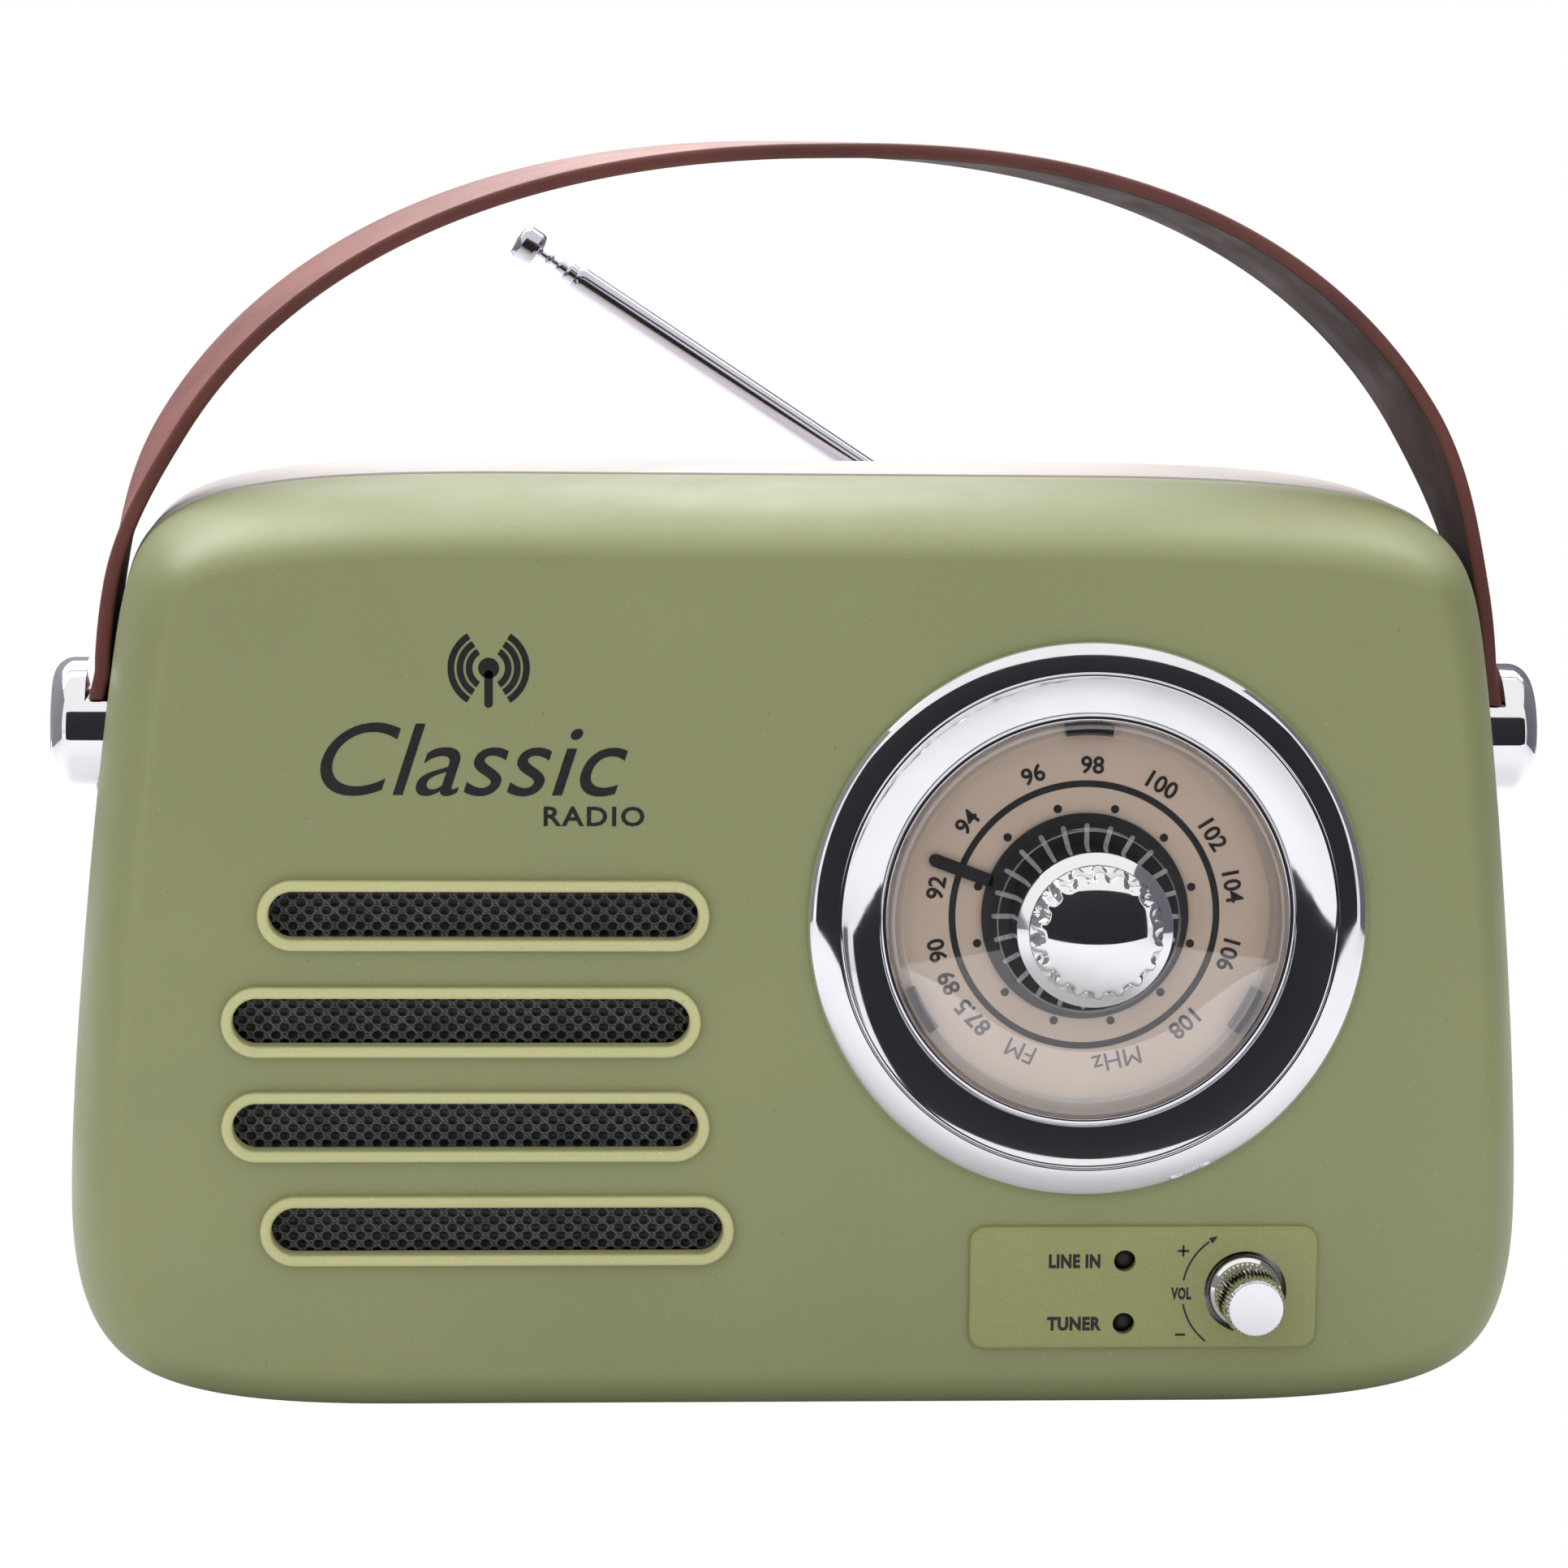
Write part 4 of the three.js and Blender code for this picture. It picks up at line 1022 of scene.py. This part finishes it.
def build_panel_print(out, lamps):
    def label(text, height, x, z, width):
        return lettering(text, height, (x, z, out), weight=0.05, spacing=1.08, width=width)
    plus, minus = (55.3, 29.0, out), (55.1, 16.4, out)
    prints = [label("LINE IN", 2.1, 39.3, lamps[0][2], 7.6), label("TUNER", 2.1, 39.4, lamps[1][2], 8),
              label("VOL", 1.9, 55.1, VOLUME[2] - 0.2, 3),
              bar(0.32, 1.75, plus, 0), bar(0.32, 1.75, plus, math.pi / 2), bar(0.32, 1.55, minus, 0)]

    # The arrow's arc round the knob, broken for the word.
    centre = np.array([VOLUME[0], VOLUME[2], 0])
    radius, tip = 9.35, math.radians(124)
    arcs = [flat_arc(radius, 0.26, start, end, out) for start, end in ((126, 169), (191, 232))]
    across = np.array([math.cos(tip), math.sin(tip)])
    along = np.array([math.sin(tip), -math.cos(tip)])
    head = np.array([radius * across + 1.15 * along, radius * across - 0.1 * along + 0.52 * across,
                     radius * across - 0.1 * along - 0.52 * across])
    arcs.append(slab(head, out, out + PRINT_T))
    prints += [(verts + centre, faces) for verts, faces in arcs]
    piece("panel_print", placed(joined(*prints), FRONT, (0, 0, 0)), INK, weld=False)


def build_volume_knob():
    front = -VOLUME_FRONT_Y
    teeth, tooth_r, tooth_foot = 40, 4.0, 37.2
    profile = rounded([(0, front), (3.9, front, 0.12), (4.2, front - 0.2, 0.1), (4.55, front - 0.6, 0.05),
                       (4.55, 37.3, 0.1), (4.7, 36.9, 0.2), (5.2, 36.5, 0.3), (5.4, 36.1, 0.3),
                       (5.4, 34.6, 0.1), (2.4, 34.6, 0.1), (2.4, 40, 0.1), (0, 40)], closed=False, steps=4)
    profile = subdivided(profile, lambda a, b: 6 if abs(a[1] - b[1]) > 2 else 1)

    def knurl(r, h, angle):
        if r < tooth_r or h < tooth_foot:
            return r
        tooth = abs((angle * teeth / (2 * math.pi)) % 1 - 0.5) * 2
        fade = min(1, (h - tooth_foot) / 0.3)
        return r - 0.45 * fade * tooth
    knob = turned(profile, teeth * 8, closed=False, ripple=knurl)
    piece("volume_knob_chrome", placed(knob, FRONT, (VOLUME[0], 0, VOLUME[2])), CHROME, "volume",
          replaces=["volume_knob"], sharp=28)


build_panel()
build_volume_knob()


# ---------------------------------------------------------------- emblem and word on the face
def build_face_print():
    out = -FRONT_Y + 0.005
    centre = np.array([-46.6, 114.4, 0])
    arcs = [flat_arc(radius, 0.95, start, start + 116, out, steps=24)
            for radius in (2.8, 4.1, 5.4) for start in (-58, 122)]
    mast = bar(1.2, 5.4, (0, -3.0, out), math.pi / 2)
    emblem = [(verts + centre, faces) for verts, faces in (dot(1.5, (0, 0, out)), *arcs, mast)]
    ground = out + PRINT_T / 2
    words = [lettering("Classic", 10.6, (-48.6, 101.2, ground), slant=0.3, width=44, steps=10),
             lettering("RADIO", 2.9, (-31.4, 93.0, ground), weight=0.02, spacing=1.15, width=14.5)]
    piece("face_print", placed(joined(*emblem, *words), FRONT, (0, 0, 0)), INK, weld=False)


build_face_print()


# ---------------------------------------------------------------- handle
STRAP_W, STRAP_T = 19.0, 2.3
STRAP_TOP, STRAP_HALF = 187.9, 103.7  # height of the centre line's apex, and half its span
STRAP_POWER = 0.872  # 1 would be half an ellipse, less is squarer
STRAP_LEAN, STRAP_LIFT = 12.5, 1.25  # how far the top lies back, and how much the right half is raised
STRAP_YAW = {"middle": 27, "sides": 10}  # degrees that the strap is turned
FLARE, FLARE_FADE = 0.8, 48  # the feet spread this much, fading with height


def strap_line(steps=160):
    """Centre points of the strap, how high each is (0 at the feet, 1 at the top) and how far to the side."""
    line, heights, sides = [], [], []
    for k in range(steps + 1):
        angle = math.pi * k / steps
        height = max(math.sin(angle), 0.0) ** STRAP_POWER
        cos = math.cos(angle)
        reach = STRAP_HALF * abs(cos) ** STRAP_POWER + FLARE * math.exp(-FLARE_FADE * height)
        z = STRAP_FOOT + (STRAP_TOP - STRAP_FOOT) * height + STRAP_LIFT * math.sin(2 * angle)
        line.append((math.copysign(reach, cos), STRAP_LEAN * height, z))
        heights.append(height)
        sides.append(abs(cos))
    return np.array(line), heights, sides


def strap_section():
    """The strap's (across, out) section, with a creased line along each edge of both faces."""
    corners = stadium(-STRAP_W / 2, STRAP_W / 2, -STRAP_T / 2, STRAP_T / 2, 0.75, 5)(0)
    closed = subdivided([*corners, corners[0]], lambda a, b: 28 if abs(b[0] - a[0]) > 5 else 1)
    section = np.array(closed[:-1])
    crease_at, crease_w, crease_depth = STRAP_W / 2 - 1.5, 0.28, 0.1
    for p in section:
        if abs(p[1]) > STRAP_T / 2 - 0.05:
            dip = crease_depth * math.exp(-((abs(p[0]) - crease_at) / crease_w) ** 2)
            p[1] -= math.copysign(dip, p[1])
    return section


def build_strap():
    line, heights, sides = strap_line()
    section = strap_section()
    rings = []
    for k, centre in enumerate(line):
        before, after = line[max(k - 1, 0)], line[min(k + 1, len(line) - 1)]
        along = (after - before) / np.linalg.norm(after - before)
        if k in (0, len(line) - 1):
            along = np.array([0, 0, 1.0 if k == 0 else -1.0])
        t = min(1, max(0, (heights[k] - 0.2) / 0.3))
        yaw = STRAP_YAW["middle"] + (STRAP_YAW["sides"] - STRAP_YAW["middle"]) * sides[k]
        twist = math.radians(yaw) * t * t * (3 - 2 * t)
        across = np.array([math.sin(twist), -math.cos(twist), 0])
        across -= along * (across @ along)
        across /= np.linalg.norm(across)
        outward = -np.cross(across, along)
        rings.append(centre + section[:, :1] * across + section[:, 1:] * outward)
    obj = piece("handle_strap_leather", skin(rings), STRAP, "handle",
                replaces=["handle_strap"], sharp=60, weld=False)
    obj.data.materials.append(STRAP_EDGE)
    obj.data.materials.append(STRAP_BACK_SHADE)
    for face in obj.data.polygons:
        if len(face.vertices) == 4:
            spots = [section[v % len(section)] for v in face.vertices]
            if all(abs(p[0]) > STRAP_W / 2 - 0.5 for p in spots):
                face.material_index = 1
            # Faces on the inner side get the darker leather: painted shade for the sheltered face.
            elif all(p[1] < 0 for p in spots):
                face.material_index = 2


def build_end_knobs():
    edge, shoulder = 3.2, KNOB_TIP - 0.35
    arc = [(END_KNOB_R - edge * (1 - math.cos(t)), shoulder - edge * (1 - math.sin(t)))
           for t in np.linspace(0, math.radians(84), 13)]
    profile = rounded([(0, KNOB_ROOT), (END_KNOB_R, KNOB_ROOT, 0.2)], closed=False)
    profile += arc + [(3.6, KNOB_TIP - 0.09), (0, KNOB_TIP)]
    bore = rod(2.9, KNOB_ROOT - 1, KNOB_ROOT + 6.4, 40)
    pivot = (0, 0, PIVOT_Z)
    for side, sign, axes in (("right", 1, RIGHT), ("left", -1, LEFT)):
        knob = piece(f"end_knob_{side}_chrome", lathe(profile, 160, axes, pivot, closed=False),
                     CHROME, "handle", replaces=[f"end_knob_{side}"], sharp=40)
        low, high = sorted((sign * 100, sign * NOTCH_X))
        notch = block(low, high, -12, 12, STRAP_FOOT - 0.3, PIVOT_Z + 14, soft=0.05)
        carve(knob, notch, placed(bore, axes, pivot), sharp=40)


build_strap()
build_end_knobs()


# ---------------------------------------------------------------- aerial
def aerial_axes():
    """The folded aerial's own axes: backward, across and along it."""
    along = Vector(joint("aerial_pull_1")["axis"]).normalized()
    side = Vector((0, 1, 0))
    return Matrix((side, along.cross(side), along)).transposed()


AERIAL = aerial_axes()
ELBOW = Matrix((AERIAL.col[2], AERIAL.col[0], AERIAL.col[1])).transposed()
HINGE = joint_place("aerial_tilt")
SLEEVE_END = 110.0  # how far from its hinge the sleeve reaches


def aerial_piece(name, node, body, geometry):
    piece(name, geometry, TUBE_CHROME, body, replaces=[node], sharp=35)


def along_aerial(profile, sides, closed=True, steps=4):
    return lathe(rounded(profile, closed, steps), sides, AERIAL, HINGE, closed)


def build_aerial_sections():
    end = SLEEVE_END
    aerial_piece("aerial_section_2_tube", "aerial_section_2", "aerial_middle", along_aerial(
        [(1.5, 7, 0.1), (1.5, end + 1.3, 0.2), (1.28, end + 1.8, 0.15), (1.1, end + 1.8, 0.05),
         (1.22, end + 0.8), (1.22, 8.5), (0.2, 8.5), (0.2, 7)], 64))
    aerial_piece("aerial_section_3_tube", "aerial_section_3", "aerial_inner", along_aerial(
        [(1.02, 10, 0.1), (1.02, end + 2.9, 0.2), (0.85, end + 3.4, 0.12), (0.72, end + 3.4, 0.05),
         (0.8, end + 2.4), (0.8, 11.5), (0.2, 11.5), (0.2, 10)], 64))
    aerial_piece("aerial_tip", "aerial_tip_rod", "aerial_rod", along_aerial(
        [(0, 13), (0.6, 13, 0.1), (0.6, end + 4.4, 0.1), (0.88, end + 4.7, 0.1), (0.88, end + 5.1, 0.1),
         (0.6, end + 5.4, 0.1), (0.6, end + 6.6, 0.2), (1.6, end + 6.8, 0.2), (2.6, end + 7.1, 0.4),
         (2.8, end + 7.8, 0.5), (2.8, end + 9.9, 0.4), (2.4, end + 10.7, 0.4), (0, end + 11)],
        72, closed=False, steps=5))


def build_aerial_sleeve():
    """The outer tube, with a neck and the eye that turns on the elbow's pin."""
    end = SLEEVE_END
    barrel = along_aerial(
        [(2.0, 3.2, 0.3), (2.0, end - 1.2, 0.3), (1.95, end - 0.7, 0.2), (1.75, end, 0.2), (1.62, end, 0.05),
         (1.7, end - 1), (1.7, 5.4), (0.3, 5.4), (0.3, 3.2)], 72)
    eye = rounded([(1.4, -2.1, 0.1), (2.7, -2.1, 0.35), (2.7, 2.1, 0.35), (1.4, 2.1, 0.1)])
    neck = along_aerial([(0.4, 2.3, 0), (1.75, 2.3, 0.1), (2.0, 3.3, 0.2), (0.4, 3.3, 0)], 40, steps=6)
    aerial_piece("aerial_sleeve_tube", "aerial_sleeve", "aerial_outer",
                 joined(barrel, lathe(eye, 56, ELBOW, HINGE), neck))


def build_aerial_swivel():
    """A disc against the back, two cheeks on it and the elbow's pin through them."""
    disc = rounded([(0, 3.6), (6.6, 3.6, 0.2), (6.6, 4.8, 0.2), (0, 4.8)], closed=False)
    # A cheek is round at its free end and square at the disc.
    cheek_r = 4.2
    free_end = stadium(-cheek_r, cheek_r, -cheek_r, cheek_r, cheek_r - 0.05, 12)(0)
    outline = np.array([(u, v) if v > 0 else (math.copysign(cheek_r, u), v * 0.92) for u, v in free_end])
    cheeks = []
    for sign in (-1, 1):
        rings = [np.column_stack([outline * (1 - shrink / cheek_r), np.full(len(outline), sign * w)])
                 for w, shrink in ((2.4, 0.15), (2.5, 0), (3.65, 0), (3.8, 0.2))]
        cheeks.append(placed(skin(rings), ELBOW, HINGE))
    pin = [(0, -3.9), (0.9, -3.9), (1.1, -3.7), (1.1, 3.7), (0.9, 3.9), (0, 3.9)]
    aerial_piece("aerial_swivel_fork", "aerial_swivel", "aerial_turret", joined(
        lathe(disc, 72, FRONT, HINGE, closed=False), *cheeks, lathe(pin, 40, ELBOW, HINGE, closed=False)))


def build_aerial_base():
    x, _, z = middle("aerial_base")
    collar = rounded([(0, 34.5), (7, 34.5, 0.2), (7, 37, 0.2), (4.1, 37, 0.1), (4.1, 40.3, 0.1),
                      (7.4, 40.3, 0.1), (7.4, 42.0, 0.5), (5.4, 42.2, 0.3), (0, 42.2)], closed=False)
    piece("aerial_base_collar", lathe(collar, 72, REAR, (x, 0, z), closed=False), BLACK,
          replaces=["aerial_base"])


build_aerial_sections()
build_aerial_sleeve()
build_aerial_swivel()
build_aerial_base()


# ---------------------------------------------------------------- rear panel, sockets and buttons
KEYS = ("mode", "previous", "next")


def build_rear_panel():
    (x0, y0, z0), (x1, back, z1) = box("rear_panel")
    profile = [(6, y0), (0, y0), (0, back - 0.35), (0.1, back - 0.1), (0.35, back), (6, back)]
    panel = piece("rear_plate", banded(stadium(x0, x1, z0, z1, 2.7, 10), profile, loop=False, caps=True),
                  BLACK, replaces=["rear_panel"])
    usb, charge, aux = (middle(node) for node in ("usb_socket", "charge_socket", "aux_jack"))
    keys = [middle(f"button_{key}") for key in KEYS]

    def window(at, half_w, half_h):
        return block(at[0] - half_w, at[0] + half_w, back - 4, back + 3, at[2] - half_h, at[2] + half_h, 0.3)
    holes = [(3.4, aux)] + [(3.5, key) for key in keys]
    carve(panel, window(usb, 7, 3.6), window(charge, 4.6, 2.2),
          *[placed(rod(radius, -4, 3, 48), REAR, (at[0], back, at[2])) for radius, at in holes])


def build_rear_print():
    """A label under each socket and over each button, with its height and its place above the middle."""
    out = box("rear_panel")[1][1]
    labels = [("USB", "usb_socket", 1.5, -5.2), ("AUX", "aux_jack", 1.5, -4.9),
              ("DC 5V", "charge_socket", 1.5, -4.9)]
    labels += [(text, f"button_{key}", 1.3, 4.6) for text, key in zip(("MODE", "PREV", "NEXT"), KEYS)]
    prints = []
    for text, node, height, rise in labels:
        x, _, z = middle(node)
        prints.append(lettering(text, height, (-x, z + rise, out), weight=0.01))
    piece("rear_print", placed(joined(*prints), REAR, (0, 0, 0)), PALE_INK, weld=False)


def build_socket(name, half_w, half_h, wall, floor, tongue):
    """A pressed can, open to the back, with its tongue (half its width, its lower and upper side)."""
    node = f"{name}_socket"
    x, _, z = middle(node)
    (_, y0, _), (_, y1, _) = box(node)
    outer = stadium(x - half_w, x + half_w, z - half_h, z + half_h, 0.6, 5)
    core = half_h * 0.9
    profile = [(core, y0), (0, y0), (0, y1), (wall, y1), (wall, y0 + floor), (core, y0 + floor)]
    piece(f"{name}_can", banded(outer, profile, loop=False, caps=True), STEEL, replaces=[node])
    reach, low, high = tongue
    blade = block(x - reach, x + reach, y0 + floor - 0.1, y1 - 0.9, z + low, z + high, 0.15)
    piece(f"{name}_tongue", blade, BLACK)


def build_aux_jack():
    x, _, z = middle("aux_jack")
    (_, y0, _), (_, y1, _) = box("aux_jack")
    bore, ring_r, floor = 1.9, 3.1, y0 + 3
    jack = rounded([(bore, y1, 0.25), (ring_r, y1, 0.3), (ring_r, y0, 0.1), (0, y0), (0, floor),
                    (bore, floor, 0.1)], steps=4)
    piece("aux_jack_ring", lathe(jack, 56, REAR, (x, 0, z)), STEEL, replaces=["aux_jack"])


def build_keys():
    for key in KEYS:
        node = f"button_{key}"
        x, _, z = middle(node)
        tip = box(node)[1][1]
        profile = rounded([(0, 28), (1.6, 28, 0.1), (1.6, 34, 0.1), (3.1, 35, 0.2), (3.1, tip - 0.1, 0.6),
                           (1.2, tip - 0.12, 0.5), (0, tip - 0.3)], closed=False)
        piece(f"{node}_cap", lathe(profile, 56, REAR, (x, 0, z), closed=False), CREAM, f"{key}_key",
              replaces=[node])


def build_screws():
    (_, low, _), (_, high, _) = box(CASE_SCREWS[0])
    shank_r, neck = 1.3, high - 2
    thread_pitch, thread_depth = 0.9, 0.22
    profile = rounded([(0, low), (0.5, low, 0.1), (shank_r, low + 1.5, 0.1), (shank_r, neck, 0.1),
                       (2.8, neck, 0.1), (2.8, high - 0.5, 0.6), (1.5, high, 0.8), (0, high)], closed=False)
    profile = subdivided(profile, lambda a, b: 90 if abs(a[1] - b[1]) > 8 else 1)

    def thread(r, h, angle):
        if abs(r - shank_r) > 0.01 or h > neck - 0.3:
            return r
        return r - thread_depth * abs(((h / thread_pitch + angle / (2 * math.pi)) % 1) - 0.5) * 2
    body = turned(profile, 32, closed=False, ripple=thread)
    long, narrow = 1.5, 0.3
    for node in CASE_SCREWS:
        x, _, z = middle(node)
        screw = piece(f"{node}_body", placed(body, REAR, (x, 0, z)), STEEL, replaces=[node], sharp=50)
        for half_w, half_h in ((long, narrow), (narrow, long)):
            cross = block(x - half_w, x + half_w, high - 1.1, high + 1, z - half_h, z + half_h, 0.05)
            carve(screw, cross, sharp=50)


def build_feet():
    for node in (f"foot_{i}" for i in range(1, 5)):
        x, y, _ = middle(node)
        top = box(node)[1][2]
        profile = rounded([(0, -top), (4, -top, 0.1), (4, -0.3, 0.35), (3.2, 0, 0.4), (2.4, 0, 0.2),
                           (2.2, -0.25, 0.1), (0, -0.25)], closed=False)
        piece(f"{node}_pad", lathe(profile, 56, DOWN, (x, y, 0), closed=False), RUBBER, replaces=[node])


build_rear_panel()
build_socket("usb", 6.7, 3.3, 0.5, 3, (5.2, 0.3, 1.9))
build_socket("charge", 4.3, 1.9, 0.45, 6, (2.7, -0.35, 0.3))
build_aux_jack()
build_keys()
build_rear_print()
build_screws()
build_feet()


# ---------------------------------------------------------------- inner parts that keep their CAD shape
INSIDE = {
    STEEL: ["speaker_basket", "speaker_magnet", "tuning_pot", "tuning_shaft", "volume_shaft", "volume_pot",
            "handle_boss_left", "handle_boss_right", *[f"speaker_screw_{i}" for i in range(1, 5)]],
    RUBBER: ["speaker_surround"],
    PULP: ["speaker_cone"],
    BLACK: ["speaker_dust_cap", "battery_bracket"],
    BOARD: ["main_board"],
    BATTERY: ["battery_pack"],
}


def dress_inside():
    for material, names in INSIDE.items():
        for name in names:
            mesh = frame["nodes"][name].data
            mesh.materials.clear()
            mesh.materials.append(material)


dress_inside()
